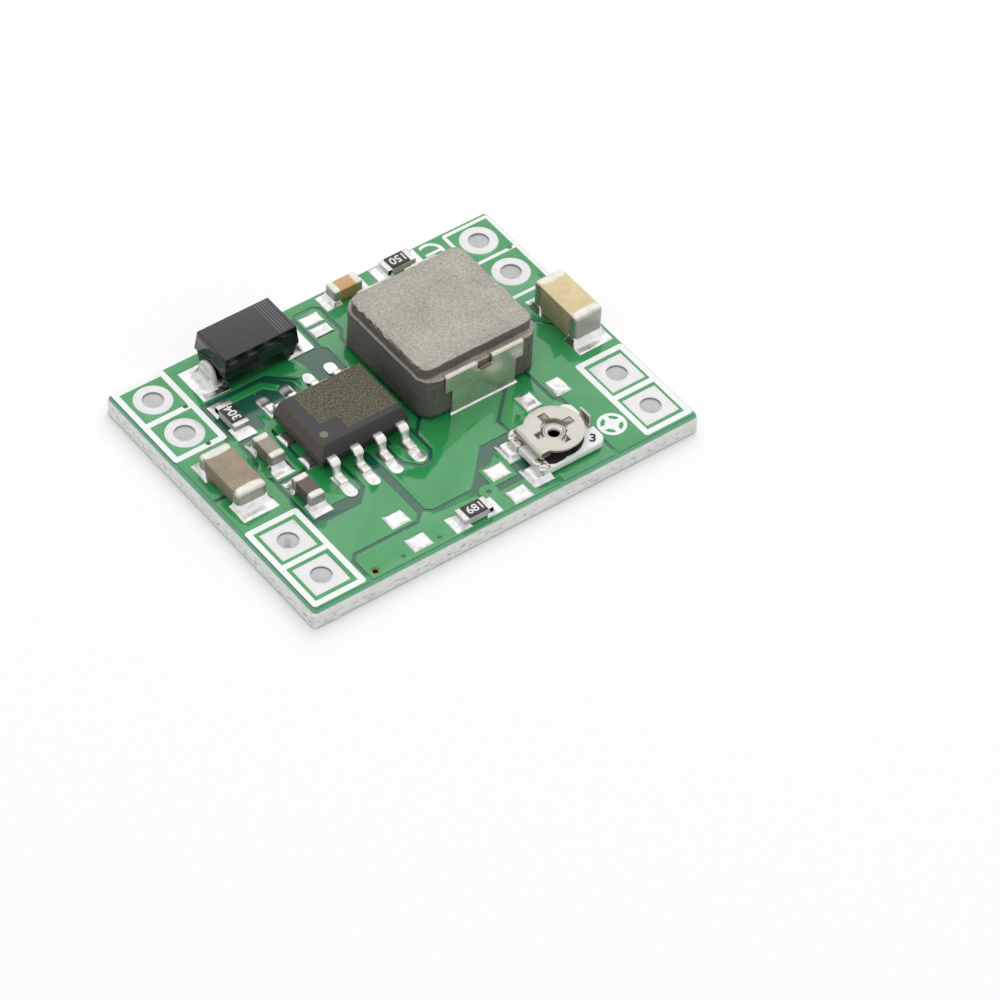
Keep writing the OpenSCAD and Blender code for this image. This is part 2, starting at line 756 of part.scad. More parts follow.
// Frame round one pair of holes, with a bar between them
module frame_print(frame, line) {
    edges = frame[1];
    size = [edges[2] - edges[0], edges[3] - edges[1]];
    translate([frame[0].x * hole_x + edges[0], frame[0].y * (hole_y_in + hole_pitch / 2) + edges[1]])
        difference() {
            translate(size / 2) rounded(size.x, size.y, frame_corner_r);
            translate([line, line]) square([size.x - 2 * line, -edges[1] - 1.5 * line]);
            translate([line, line / 2 - edges[1]]) square([size.x - 2 * line, edges[3] - 1.5 * line]);
        }
}

module ring_print() {
    difference() {
        circle(mark_r);
        circle(mark_r - mark_ring);
    }
}

module plus_print() {
    ring_print();
    square([2 * mark_r - mark_ring, mark_bar], center = true);
    square([mark_bar, 2 * mark_r - mark_ring], center = true);
}

// The mark's left side is cut off where the rear resistor's land is
module minus_print() {
    difference() {
        union() {
            ring_print();
            square([2 * mark_r - mark_ring, mark_bar * 0.6], center = true);
        }
        translate([-2 * mark_r, -mark_r]) square([mark_r * 1.55, 2 * mark_r]);
    }
}

module silkscreen() {
    color("white")
        translate([0, 0, board_t]) linear_extrude(print_t)
            difference() {
                union() {
                    for (frame = frames) frame_print(frame, frame_line);
                    frame_print(thin_frame, thin_frame_line);
                    in_plan(plus_at) plus_print();
                    in_plan(minus_at) minus_print();
                }
                at_vias() circle(via_d / 2);
            }
}

// ---------- plating and solder ----------

module terminal_hole_plating() {
    color([0.88, 0.88, 0.87])
        difference() {
            union() {
                at_all_holes() cylinder(h = board_t, r = barrel_r);
                translate([0, 0, copper_z1]) linear_extrude(mask_t) hole_pads();
                linear_extrude(mask_t) hole_pads();
            }
            at_all_holes() translate([0, 0, -over]) cylinder(h = board_t + 2 * over, d = hole_d);
        }
}

module via_plating() {
    color([0.8, 0.6, 0.4])
        at_vias() translate([0, 0, mask_t]) difference() {
            cylinder(h = board_t - 2 * mask_t, r = via_r);
            translate([0, 0, -over]) cylinder(h = board_t + 2 * over, d = via_d);
        }
}

module tinned_lands() {
    color([0.9, 0.9, 0.9])
        translate([0, 0, copper_z1]) linear_extrude(mask_t) lands();
}

// Hollow fillet against a wall at the origin: it runs out along +X and rises along +Z
module fillet(run, rise, width) {
    translate([0, width / 2, 0]) rotate([90, 0, 0]) linear_extrude(width)
        polygon(concat([[0, 0]], [for (a = [0 : 15 : 90]) [run * (1 - sin(a)), rise * (1 - cos(a))]]));
}

// A fillet at each end of a part of length l
module end_fillets(l, run, rise, width) {
    for (turn = [0, 180]) rotate(turn) translate([l / 2, 0, 0]) fillet(run, rise, width);
}

module large_fillets() {
    end_fillets(large_l, large_run, large_rise, large_joint_w);
}

module small_fillets() {
    end_fillets(small_l, small_run, small_rise, small_joint_w);
}

module solder_joints() {
    color([0.9, 0.9, 0.9]) {
        on_board(input_cap_at, 90, input_cap_nudge) large_fillets();
        on_board(output_cap_at, 90, output_cap_nudge) large_fillets();
        on_board(enable_cap_at, 90, enable_cap_nudge) small_fillets();
        for (p = [boost_cap_at, left_res_at]) on_board(p, 90) small_fillets();
        for (p = [filter_cap_at, rear_res_at, front_res_at]) on_board(p) small_fillets();
        at_leads() translate([0, lead_span / 2, board_t]) rotate(90) fillet(toe_run, toe_rise, lead_w);
        on_board(diode_at)
            end_fillets(2 * (diode_leg_x + diode_lead_t), diode_run, diode_rise, diode_lead_w);
        on_board(core_at, 90) end_fillets(2 * clip_y, clip_run, clip_rise, clip_plate_w);
    }
}

// ---------- controller and diode ----------

// Moulded body: parting line at z = parting, drafted upwards and downwards
module moulded(l, w, low, parting, high, draft) {
    intersection() {
        translate([0, w, 0]) rotate([90, 0, 0]) linear_extrude(2 * w)
            moulded_section(l, low, parting, high, draft);
        translate([-l, 0, 0]) rotate([90, 0, 90]) linear_extrude(2 * l)
            moulded_section(w, low, parting, high, draft);
    }
}

module moulded_section(w, low, parting, high, draft) {
    polygon([[-w / 2 + draft, low], [w / 2 - draft, low], [w / 2, parting],
        [w / 2 - draft, high], [-w / 2 + draft, high], [-w / 2, parting]]);
}

module controller_body() {
    color([0.2, 0.2, 0.2])
        on_board(ctrl_at)
            difference() {
                moulded(ctrl_l, ctrl_w, ctrl_gap, ctrl_parting, ctrl_h, ctrl_draft);
                lead_roots();
            }
}

// Side view of one gull-wing lead, y outward and z up, from inside the body to the toe
function gull_points() =
    let (rm = lead_bend_r + lead_t / 2,
        root_c = [ctrl_w / 2 + lead_shoulder, lead_z1 - lead_t - lead_bend_r],
        foot_z = solder_t + lead_t + lead_bend_r,
        leg = (root_c.y - foot_z + 2 * rm * cos(lead_lean)) / sin(lead_lean),
        foot_c = [root_c.x + 2 * rm * sin(lead_lean) + leg * cos(lead_lean), foot_z])
    concat([[ctrl_w / 2 - lead_in, lead_z1 - lead_t], [ctrl_w / 2 - lead_in, lead_z1]],
        arc(root_c, lead_bend_r + lead_t, 90, 90 - lead_lean),
        arc(foot_c, lead_bend_r, 270 - lead_lean, 270),
        [[lead_span / 2, solder_t + lead_t], [lead_span / 2, solder_t]],
        arc(foot_c, lead_bend_r + lead_t, 270, 270 - lead_lean),
        arc(root_c, lead_bend_r, 90 - lead_lean, 90));

module gull_lead() {
    translate([lead_w / 2, 0, 0]) rotate([90, 0, -90]) mirror([1, 0, 0]) linear_extrude(lead_w)
        polygon(gull_points());
}

// Pockets that the controller's leads fill inside the body
module lead_roots() {
    for (row = [0, 1], i = [-1.5 : 1.5])
        rotate(180 * row)
            translate([i * lead_pitch - lead_w / 2, ctrl_w / 2 - lead_in, lead_z1 - lead_t])
            cube([lead_w, lead_in + over, lead_t]);
}

module controller_leads() {
    color([0.85, 0.85, 0.84])
        at_leads() translate([0, 0, board_t]) gull_lead();
}

module diode_body() {
    color([0.24, 0.24, 0.25])
        on_board(diode_at)
            difference() {
                moulded(diode_l, diode_w, diode_gap, diode_parting, diode_h, diode_draft);
                for (turn = [0, 180]) rotate(turn) diode_lead_root();
            }
}

// Pocket that one diode lead fills inside the body
module diode_lead_root() {
    translate([diode_l / 2 - diode_lead_in, -diode_lead_w / 2, diode_parting - diode_lead_t / 2])
        cube([diode_lead_in + over, diode_lead_w, diode_lead_t]);
}

// C-shaped lead: out of the end, down beside it and back under the body
module diode_lead() {
    r = diode_bend_r;
    t = diode_lead_t;
    x = diode_leg_x;
    z1 = diode_parting + t / 2;
    z0 = solder_t;
    translate([0, diode_lead_w / 2, 0]) rotate([90, 0, 0]) linear_extrude(diode_lead_w)
        polygon(concat([[diode_l / 2 - diode_lead_in, z1 - t], [diode_l / 2 - diode_lead_in, z1]],
            arc([x - r, z1 - t - r], r + t, 90, 0),
            arc([x - r, z0 + t + r], r + t, 0, -90),
            [[x - diode_foot, z0], [x - diode_foot, z0 + t]],
            arc([x - r, z0 + t + r], r, -90, 0),
            arc([x - r, z1 - t - r], r, 0, 90)));
}

module diode_anode_lead() {
    color([0.85, 0.85, 0.84])
        on_board(diode_at, 180) diode_lead();
}

module diode_cathode_lead() {
    color([0.85, 0.85, 0.84])
        on_board(diode_at) diode_lead();
}

// ---------- inductor ----------

module tails(clear = 0) {
    reach = clip_y + tail_t;
    for (turn = [0, 180]) rotate(turn)
        translate([-tail_w / 2 - clear, winding_r + wire_d / 2, tail_z - clear])
            cube([tail_w + 2 * clear, reach - winding_r - wire_d / 2, tail_t + 2 * clear]);
}

module inductor_core() {
    color([0.66, 0.65, 0.6])
        on_board(core_at)
            difference() {
                union() {
                    translate([0, 0, clip_t + solder_t]) linear_extrude(ledge_h - clip_t - solder_t)
                        rounded(core_l, core_w, core_r);
                    translate([0, 0, ledge_h - over]) linear_extrude(body_h + over)
                        rounded(core_l - 2 * ledge_x, core_w - 2 * ledge_y, top_r);
                }
                // room for the winding
                translate([0, 0, winding_z - winding_gap]) rotate_extrude()
                    translate([winding_r - winding_gap, 0])
                        square([winding_w + 2 * winding_gap, tail_z + tail_t + 2 * winding_gap - winding_z]);
                tails(winding_gap);
            }
}

module inductor_winding() {
    color([0.8, 0.45, 0.25])
        on_board(core_at) {
            translate([0, 0, winding_z]) rotate_extrude()
                translate([winding_r, 0]) square([winding_w, winding_top - winding_z]);
            tails();
        }
}

// Terminal of the rear side: T-shaped plate, arms hooked over the ledge, foot under the core
module inductor_terminal() {
    y = core_w / 2;
    foot_z = solder_t;
    difference() {
        union() {
            translate([-clip_plate_w / 2, y, foot_z])
                cube([clip_plate_w, clip_t, clip_arm_z - foot_z + over]);
            translate([-clip_arm_w / 2, y, clip_arm_z]) cube([clip_arm_w, clip_t, ledge_h - clip_arm_z]);
            translate([-clip_arm_w / 2, y - clip_hook, ledge_h]) cube([clip_arm_w, clip_hook, clip_t]);
            translate([-clip_arm_w / 2, y, ledge_h]) rotate([90, 0, 90])
                linear_extrude(clip_arm_w) polygon(concat([[0, 0]], arc([0, 0], clip_t, 0, 90)));
            translate([-clip_plate_w / 2, y - clip_foot, foot_z])
                cube([clip_plate_w, clip_foot + over / 2, clip_t]);
        }
        translate([-clip_gap_w / 2, y - clip_hook - over, clip_notch_z])
            cube([clip_gap_w, clip_hook + clip_t + 2 * over, ledge_h]);
    }
}

module inductor_rear_terminal() {
    color([0.82, 0.8, 0.78])
        on_board(core_at) inductor_terminal();
}

module inductor_front_terminal() {
    color([0.82, 0.8, 0.78])
        on_board(core_at, 180) inductor_terminal();
}

// ---------- chip parts ----------

// Ceramic block of a capacitor, inside its end caps
module capacitor_body(l, w, h) {
    translate([0, 0, solder_t + h / 2])
        cube([l - 2 * end_wall, w - 2 * end_wall, h - 2 * end_wall], center = true);
}

// The two end caps, each a thin cup over the block
module capacitor_ends(l, w, h, cap) {
    difference() {
        for (side = [-1, 1])
            translate([side * (l - cap) / 2, 0, solder_t + h / 2]) cube([cap, w, h], center = true);
        capacitor_body(l, w, h);
    }
}

module input_capacitor_body() {
    color([0.6, 0.54, 0.46]) on_board(input_cap_at, 90, input_cap_nudge)
        capacitor_body(large_l, large_w, input_cap_h);
}

module input_capacitor_ends() {
    color([0.9, 0.89, 0.86]) on_board(input_cap_at, 90, input_cap_nudge)
        capacitor_ends(large_l, large_w, input_cap_h, large_band);
}

module output_capacitor_body() {
    color([0.82, 0.76, 0.56]) on_board(output_cap_at, 90, output_cap_nudge)
        capacitor_body(large_l, large_w, output_cap_h);
}

module output_capacitor_ends() {
    color([0.9, 0.89, 0.86]) on_board(output_cap_at, 90, output_cap_nudge)
        capacitor_ends(large_l, large_w, output_cap_h, large_band);
}

module enable_capacitor_body() {
    color([0.62, 0.6, 0.54]) on_board(enable_cap_at, 90, enable_cap_nudge)
        capacitor_body(small_l, small_w, small_cap_h);
}

module enable_capacitor_ends() {
    color([0.9, 0.89, 0.86]) on_board(enable_cap_at, 90, enable_cap_nudge)
        capacitor_ends(small_l, small_w, small_cap_h, small_band);
}

module boost_capacitor_body() {
    color([0.44, 0.4, 0.39]) on_board(boost_cap_at, 90)
        capacitor_body(small_l, small_w, small_cap_h);
}

module boost_capacitor_ends() {
    color([0.9, 0.89, 0.86]) on_board(boost_cap_at, 90)
        capacitor_ends(small_l, small_w, small_cap_h, small_band);
}

module filter_capacitor_body() {
    color([0.78, 0.64, 0.46]) on_board(filter_cap_at)
        capacitor_body(small_l, small_w, small_cap_h);
}

module filter_capacitor_ends() {
    color([0.9, 0.89, 0.86]) on_board(filter_cap_at)
        capacitor_ends(small_l, small_w, small_cap_h, small_band);
}

module resistor_chip() {
    translate([0, 0, solder_t + resistor_h / 2])
        cube([small_l - 2 * end_wall, small_w, resistor_h - 2 * end_wall], center = true);
}

// Glazed element on top of the chip, between the bands
module resistor_element() {
    l = small_l - 2 * resistor_band;
    translate([-l / 2, -small_w / 2 + end_wall, solder_t + resistor_h - end_wall])
        cube([l, small_w - 2 * end_wall, element_t + end_wall]);
}

// End plates with a band over the top and one under the chip
module resistor_ends() {
    difference() {
        for (side = [-1, 1])
            translate([side * (small_l - resistor_band) / 2, 0, solder_t + resistor_h / 2])
                cube([resistor_band, small_w, resistor_h], center = true);
        resistor_chip_void();
    }
}

module resistor_chip_void() {
    translate([0, 0, solder_t + resistor_h / 2])
        cube([small_l - 2 * end_wall, 2 * small_w, resistor_h - 2 * end_wall], center = true);
}

module left_resistor_chip() {
    color([0.75, 0.76, 0.73])
        on_board(left_res_at, 90) resistor_chip();
}

module left_resistor_element() {
    color([0.16, 0.14, 0.13])
        on_board(left_res_at, 90) resistor_element();
}

module left_resistor_ends() {
    color([0.9, 0.9, 0.9])
        on_board(left_res_at, 90) resistor_ends();
}

module rear_resistor_chip() {
    color([0.75, 0.76, 0.73])
        on_board(rear_res_at) resistor_chip();
}

module rear_resistor_element() {
    color([0.2, 0.22, 0.24])
        on_board(rear_res_at) resistor_element();
}

module rear_resistor_ends() {
    color([0.9, 0.9, 0.9])
        on_board(rear_res_at) resistor_ends();
}

module front_resistor_chip() {
    color([0.75, 0.76, 0.73])
        on_board(front_res_at) resistor_chip();
}

module front_resistor_element() {
    color([0.16, 0.14, 0.13])
        on_board(front_res_at) resistor_element();
}

module front_resistor_ends() {
    color([0.9, 0.9, 0.9])
        on_board(front_res_at) resistor_ends();
}

// ---------- trimmer ----------

module trimmer_base() {
    color([0.92, 0.92, 0.9])
        on_board(pivot) translate([base_offset.x, base_offset.y, base_z])
            difference() {
                linear_extrude(base_t) rounded(base_l, base_w, base_r);
                translate([-base_offset.x, -base_offset.y, -over])
                    cylinder(h = base_t + 2 * over, r = eyelet_r);
                // notch for the stop tab
                translate([tab_x - notch_gap - base_offset.x,
                    tab_y - tab_w / 2 - notch_gap - base_offset.y, -over])
                    cube([base_l, tab_w + 2 * notch_gap, base_t + 2 * over]);
            }
}

// Resistive track: a ring with a straight front side, open towards the end terminals
module trimmer_track() {
    color([0.08, 0.08, 0.08])
        on_board(pivot) translate([0, 0, base_top]) linear_extrude(track_t)
            difference() {
                intersection() {
                    circle(track_ro);
                    translate([-2, -track_front]) square([4, 4]);
                }
                circle(track_ri);
                translate([-2, -track_opening / 2]) square([2, track_opening]);
            }
}

// Crimped end terminal: foot on the board, wall beside the base and a strap on top of it
module end_terminal() {
    strap_t = 0.8 * sheet_t;
    x = -base_l / 2 - sheet_t;
    translate([x - crimp_toe, -crimp_w / 2, solder_t]) cube([crimp_foot, crimp_w, sheet_t]);
    translate([x, -crimp_w / 2, solder_t]) cube([sheet_t, crimp_w, base_top + strap_t - solder_t]);
    translate([x, -crimp_w / 2, base_top]) cube([crimp_over + sheet_t, crimp_w, strap_t]);
}

module trimmer_rear_terminal() {
    color([0.85, 0.85, 0.84])
        on_board(pivot) translate(base_offset + [0, crimp_y[0]]) end_terminal();
}

module trimmer_front_terminal() {
    color([0.85, 0.85, 0.84])
        on_board(pivot) translate(base_offset + [0, crimp_y[1]]) end_terminal();
}

// Wiper terminal: strip under the base, turned up in the notch as a stop tab
module trimmer_wiper_terminal() {
    color([0.8, 0.78, 0.74])
        on_board(pivot)
            difference() {
                union() {
                    translate([-strip_reach, tab_y - tab_w / 2, solder_t])
                        cube([tab_x + strip_reach + sheet_t, tab_w, base_z - solder_t]);
                    translate([tab_x, tab_y - tab_w / 2, solder_t])
                        cube([sheet_t, tab_w, tab_h - solder_t]);
                }
                translate([0, 0, -over]) cylinder(h = base_top, r = eyelet_r);
            }
}

// Hollow rivet through the wiper terminal, the base and the rotor
module trimmer_eyelet() {
    head_z = arm_top + running_gap;
    roll = 0.6 * eyelet_head_t;
    color([0.86, 0.85, 0.83])
        on_board(pivot) rotate_extrude()
            polygon([[eyelet_d / 2, solder_t], [eyelet_r, solder_t], [eyelet_r, head_z],
                [eyelet_head_r, head_z], [eyelet_head_r, head_z + eyelet_head_t - roll],
                [eyelet_head_r - roll, head_z + eyelet_head_t],
                [eyelet_d / 2 + roll, head_z + eyelet_head_t],
                [eyelet_d / 2, head_z + eyelet_head_t - roll]]);
}

// Plan of the rotor's top plate, with the cross slot
module rotor_top_plan() {
    difference() {
        union() {
            circle(rotor_r);
            translate([-fold_reach + fold_ro, -fold_w / 2]) square([fold_reach - fold_ro, fold_w]);
        }
        circle(slot_r);
        square([slot_l, slot_w], center = true);
        square([slot_w, slot_l], center = true);
    }
}

// Half-round fold of the sheet, from the top plate down to the arm
module sheet_fold() {
    translate([-fold_reach + fold_ro, fold_w / 2, fold_zm]) rotate([90, 0, 0])
        linear_extrude(fold_w)
            difference() {
                intersection() {
                    circle(fold_ro);
                    translate([-1, -1]) square([1, 2]);
                }
                circle(fold_ro - rotor_t);
            }
}

// Wiper arm under the top plate: root, ring round the eyelet and tongue with its contact nib
module wiper_arm() {
    arm_z = arm_top - rotor_t;
    root_x = -fold_reach + fold_ro;
    nib_z = base_top + track_t + running_gap;
    difference() {
        union() {
            translate([root_x, -fold_w / 2, arm_z]) cube([arm_w / 2, fold_w, rotor_t]);
            translate([root_x, -arm_w / 2, arm_z]) cube([-root_x, arm_w, rotor_t]);
            translate([0, 0, arm_z]) cylinder(h = rotor_t, r = arm_ring_r);
            translate([0, -tongue_w / 2, arm_z]) cube([nib_reach + nib_r / 4, tongue_w, rotor_t]);
            translate([nib_reach, 0, nib_z]) cylinder(h = arm_top - nib_z, r = nib_r);
        }
        translate([0, 0, -over]) cylinder(h = rotor_h, r = eyelet_r + rotor_clearance);
    }
}

// One sheet: top plate, round the fold and back under it as the wiper arm
module trimmer_rotor() {
    color([0.84, 0.82, 0.77])
        on_board(pivot) {
            translate([0, 0, rotor_h - rotor_t]) linear_extrude(rotor_t) rotor_top_plan();
            sheet_fold();
            wiper_arm();
        }
}

board_laminate();
copper_top();
copper_bottom();
solder_mask_top();
solder_mask_bottom();
silkscreen();
terminal_hole_plating();
via_plating();
tinned_lands();
solder_joints();
controller_body();
controller_leads();
diode_body();
diode_anode_lead();
diode_cathode_lead();
inductor_core();
inductor_winding();
inductor_front_terminal();
inductor_rear_terminal();
input_capacitor_body();
input_capacitor_ends();
output_capacitor_body();
output_capacitor_ends();
enable_capacitor_body();
enable_capacitor_ends();
boost_capacitor_body();
boost_capacitor_ends();
filter_capacitor_body();
filter_capacitor_ends();
left_resistor_chip();
left_resistor_element();
left_resistor_ends();
rear_resistor_chip();
rear_resistor_element();
rear_resistor_ends();
front_resistor_chip();
front_resistor_element();
front_resistor_ends();
trimmer_base();
trimmer_track();
trimmer_rear_terminal();
trimmer_front_terminal();
trimmer_wiper_terminal();
trimmer_eyelet();
trimmer_rotor();
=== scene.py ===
"""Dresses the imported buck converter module: torn board edges, wet solder, round packages, their finishes.

The part's sizes are in millimetres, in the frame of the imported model, and are turned to metres with MM.
The lamps and the floor are in metres.
"""

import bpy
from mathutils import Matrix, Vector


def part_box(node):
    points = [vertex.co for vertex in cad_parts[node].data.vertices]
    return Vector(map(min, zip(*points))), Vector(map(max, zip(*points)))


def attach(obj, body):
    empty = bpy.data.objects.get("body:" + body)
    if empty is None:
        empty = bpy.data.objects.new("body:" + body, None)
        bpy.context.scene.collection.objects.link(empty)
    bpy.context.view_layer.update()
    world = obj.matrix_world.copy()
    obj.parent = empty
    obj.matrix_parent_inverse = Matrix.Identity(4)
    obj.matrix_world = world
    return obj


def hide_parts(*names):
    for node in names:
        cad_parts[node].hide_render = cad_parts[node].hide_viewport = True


bl_info = {
    "name": "Buck converter module looks",
    "version": (1, 0, 0),
    "blender": (4, 5, 0),
    "location": "View3D > Sidebar > Module",
    "description": "Builds the finished surfaces of a small step-down converter board",
    "category": "Object",
}

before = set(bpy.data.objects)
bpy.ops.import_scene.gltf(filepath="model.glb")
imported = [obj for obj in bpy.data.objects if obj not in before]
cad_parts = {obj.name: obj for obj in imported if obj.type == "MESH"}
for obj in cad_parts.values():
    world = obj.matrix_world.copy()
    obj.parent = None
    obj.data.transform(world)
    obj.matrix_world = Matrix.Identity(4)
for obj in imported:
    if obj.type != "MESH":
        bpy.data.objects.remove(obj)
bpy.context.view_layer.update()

import math

import bmesh
import bpy
from bpy.props import FloatProperty, FloatVectorProperty, PointerProperty
from mathutils import Matrix, Vector, noise

MM = 0.001
BOARD_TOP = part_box("solder_mask_top")[1].z
X, Y, Z = 0, 1, 2

STEP_MIDDLE = 0.014             # from the mask over copper down to the middle of the step beside it
TORN_LEVEL = 0.45               # height of the plies that are torn most
OPEN_CORNER = (-7.2, -7.5)      # the one small hole left and in front of this point is open
MASK_RELIEF = 0.021             # from the mask over copper down to the level that parts it from the rest
SOLDER_RIM = 0.22               # how far in from its border a land's solder reaches its full height
PLUS_AT = (7.05, -6.55)         # middle of the printed plus sign
GROUND_PARTS = ((-3.9, -1.12), (-4.82, -0.2))  # lower left corners of the two parts of the ground patch
PIN_DOT_AT, PIN_DOT_R = (-5.05, -0.87), 0.2    # the dot that marks the controller's first lead
DIODE_PARTING = 1.05            # height over the board at which the two halves of the mould meet
BAND_FROM, BAND_PITCH = -3.2, 0.145            # first line of the cathode band, and the step to the next
CORE_LEDGE = 2.4                # height over the board of the core's ledge
LEAF_LEVEL = 0.71               # upper face of the rotor's lower leaf over the board

# Dark and light tone of each capacitor's ceramic, and each resistor's figures and their turn in degrees.
CERAMIC_TONES = {"input": ("857a69", "aa9a80"), "output": ("cdb98c", "e8d5aa"),
                 "enable": ("8c8778", "a6a191"), "boost": ("5a4c45", "70605a"),
                 "filter": ("bd9160", "d8af7c")}
FIGURES = {"left": ("304", 90), "rear": ("150", 180), "front": ("681", 0)}


def paint(code):
    """Linear colour, with alpha, of an sRGB hex value. Anything else is given back as it is."""
    if not isinstance(code, str):
        return code
    parts = [int(code[i:i + 2], 16) / 255 for i in (0, 2, 4)]
    return tuple(c / 12.92 if c <= 0.04045 else ((c + 0.055) / 1.055) ** 2.4 for c in parts) + (1.0,)


def per(size):
    """Scale of a pattern whose grains are this many millimetres wide."""
    return 1 / (size * MM)


def colour(label, about, code):
    """A colour that a user may change."""
    return FloatVectorProperty(name=label, description=about, subtype="COLOR", size=4, min=0, max=1,
                               default=paint(code))


def length(label, about, size):
    """A length, in millimetres here and in metres in the field, that a user may change."""
    return FloatProperty(name=label, description=about, default=size * MM, min=0, unit="LENGTH", precision=5)


# ---------------------------------------------------------------- materials

def wire(node, inputs):
    """Sets a node's inputs to numbers or colours, or links them to the sockets that feed them."""
    for key, value in inputs.items():
        if isinstance(value, bpy.types.NodeSocket):
            node.id_data.links.new(value, node.inputs[key])
        else:
            node.inputs[key].default_value = paint(value)


def add(tree, kind, inputs=None, stops=(), **settings):
    """One node, with its settings, its ramp's stops and its inputs. Gives its first live output."""
    node = tree.nodes.new("ShaderNode" + kind)
    for key, value in settings.items():
        setattr(node, key, value)
    if stops:
        marks = node.color_ramp.elements
        for mark, (at, code) in zip(marks, (stops[0], stops[-1])):
            mark.position, mark.color = at, paint(code)
        for at, code in stops[1:-1]:
            marks.new(at).color = paint(code)
    wire(node, inputs or {})
    return next((out for out in node.outputs if out.enabled), None)


def blank(name, roughness=0.5, metallic=0.0, coat=0.0, coat_roughness=0.1):
    """A new material, its tree, its shader and the place on the object."""
    material = bpy.data.materials.new(name)
    material.use_nodes = True
    tree = material.node_tree
    tree.nodes.clear()
    surface = add(tree, "BsdfPrincipled", {
        "Roughness": roughness, "Metallic": metallic, "Coat Weight": coat, "Coat Roughness": coat_roughness})
    add(tree, "OutputMaterial", {"Surface": surface})
    return material, tree, surface.node, add(tree, "TexCoord").node.outputs["Object"]


def painted_side_shade(tree, sides):
    """A painted shade: a level that is 1 where a face looks up, and less on the sides, which are darkened as
    if less light fell on them.
    """
    normal = add(tree, "NewGeometry").node.outputs["Normal"]
    up = add(tree, "SeparateXYZ", {"Vector": normal}).node.outputs[Z]
    return add(tree, "MapRange", {
        "Value": up, "From Min": 0.3, "From Max": 0.95, "To Min": sides, "To Max": 1.0})


def finish(name, dark, light, grain, roughness, metallic=0.0, bump=0.0, drift=9.0, stretch=(1, 1, 1),
           sides=1.0):
    """A surface whose colour and roughness drift slowly, over a fine grain that also catches the light. With
    sides below 1, its side faces get a painted shade.
    """
    material, tree, shader, place = blank(name, metallic=metallic)
    mapped = add(tree, "Mapping", {"Vector": place, "Scale": stretch})
    fine = add(tree, "TexNoise", {"Vector": mapped, "Scale": per(grain), "Detail": 3.0})
    broad = add(tree, "TexNoise", {"Vector": mapped, "Scale": per(grain * drift), "Detail": 2.0})
    both = add(tree, "Mix", {0: 0.5, 2: fine, 3: broad})
    spread = add(tree, "MapRange", {"Value": both, "From Min": 0.33, "From Max": 0.67})
    mixed = add(tree, "Mix", {0: spread, 6: dark, 7: light}, data_type="RGBA")
    # Painted shade: faces that do not look up are darkened, down to the sides level.
    if sides < 1:
        mixed = add(tree, "HueSaturation", {"Color": mixed, "Value": painted_side_shade(tree, sides)})
    rough = add(tree, "MapRange", {
        "Value": broad, "From Min": 0.33, "From Max": 0.67, "To Min": roughness[0], "To Max": roughness[1]})
    wire(shader, {"Base Color": mixed, "Roughness": rough})
    if bump:
        wire(shader, {"Normal": add(tree, "Bump", {"Height": fine, "Distance": bump * MM, "Strength": 1.0})})
    return material


def inside(material):
    """A finish's tree and the place on the object, for a further layer."""
    tree = material.node_tree
    return tree, next(n for n in tree.nodes if n.type == "TEX_COORD").outputs["Object"]


def cover(material, level, tint):
    """Lays another colour over a finish, as far as a level from 0 to 1 says."""
    tree = material.node_tree
    shader = next(n for n in tree.nodes if n.type == "BSDF_PRINCIPLED")
    under = shader.inputs["Base Color"].links[0].from_socket
    wire(shader, {"Base Color": add(tree, "Mix", {0: level, 6: under, 7: tint}, data_type="RGBA")})


def by_depth(material, stops):
    """Gives a finish other colours by its depth, in millimetres, below the board's upper face."""
    tree, place = inside(material)
    height = add(tree, "SeparateXYZ", {"Vector": place}).node.outputs[Z]
    depth = add(tree, "MapRange", {"Value": height, "From Min": BOARD_TOP, "From Max": BOARD_TOP - 1 * MM})
    below = add(tree, "MapRange", {"Value": depth, "From Max": stops[0][0]})
    cover(material, below, add(tree, "ValToRGB", {"Fac": depth}, stops))


def apart(tree, value, other):
    """How far two levels lie apart."""
    off = add(tree, "Math", {0: value, 1: other}, operation="SUBTRACT")
    return add(tree, "Math", {0: off}, operation="ABSOLUTE")


def background_rays(tree):
    """A level that is 1 for the rays that show the background, seen straight, mirrored or through."""
    path = add(tree, "LightPath").node.outputs
    bent = add(tree, "Math", {0: path["Is Glossy Ray"], 1: path["Is Transmission Ray"]}, operation="MAXIMUM")
    return add(tree, "Math", {0: path["Is Camera Ray"], 1: bent}, operation="MAXIMUM")


def dress(node, material):
    """Gives a CAD node its finish."""
    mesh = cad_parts[node].data
    mesh.materials.clear()
    mesh.materials.append(material)


# ---------------------------------------------------------------- shapes

def copy_of(*nodes):
    """The merged mesh of CAD nodes, with its flat faces whole."""
    bm = bmesh.new()
    for node in nodes:
        bm.from_mesh(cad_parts[node].data)
    bmesh.ops.remove_doubles(bm, verts=bm.verts, dist=1e-4 * MM)
    bmesh.ops.dissolve_limit(bm, angle_limit=math.radians(1), verts=bm.verts, edges=bm.edges)
    return bm


def islands(*nodes):
    """(lowest corner, highest corner) of each separate solid of CAD nodes."""
    boxes = []
    for node in nodes:
        bm = copy_of(node)
        left, found = set(bm.verts), []
        while left:
            stack, seen = [left.pop()], []
            while stack:
                vert = stack.pop()
                seen.append(vert.co.copy())
                for edge in vert.link_edges:
                    other = edge.other_vert(vert)
                    if other in left:
                        left.remove(other)
                        stack.append(other)
            found.append(tuple(Vector([end(p[i] for p in seen) for i in range(3)]) for end in (min, max)))
        bm.free()
        boxes += sorted(found, key=lambda b: (round(b[0].x, 6), round(b[0].y, 6)))
    return boxes


def points(geometry):
    """The vertices among what an operator made."""
    return [g for g in geometry if isinstance(g, bmesh.types.BMVert)]


def join(bm, part):
    """Moves a finished part into a larger mesh."""
    mesh = bpy.data.meshes.new("part")
    part.to_mesh(mesh)
    part.free()
    bm.from_mesh(mesh)
    bpy.data.meshes.remove(mesh)


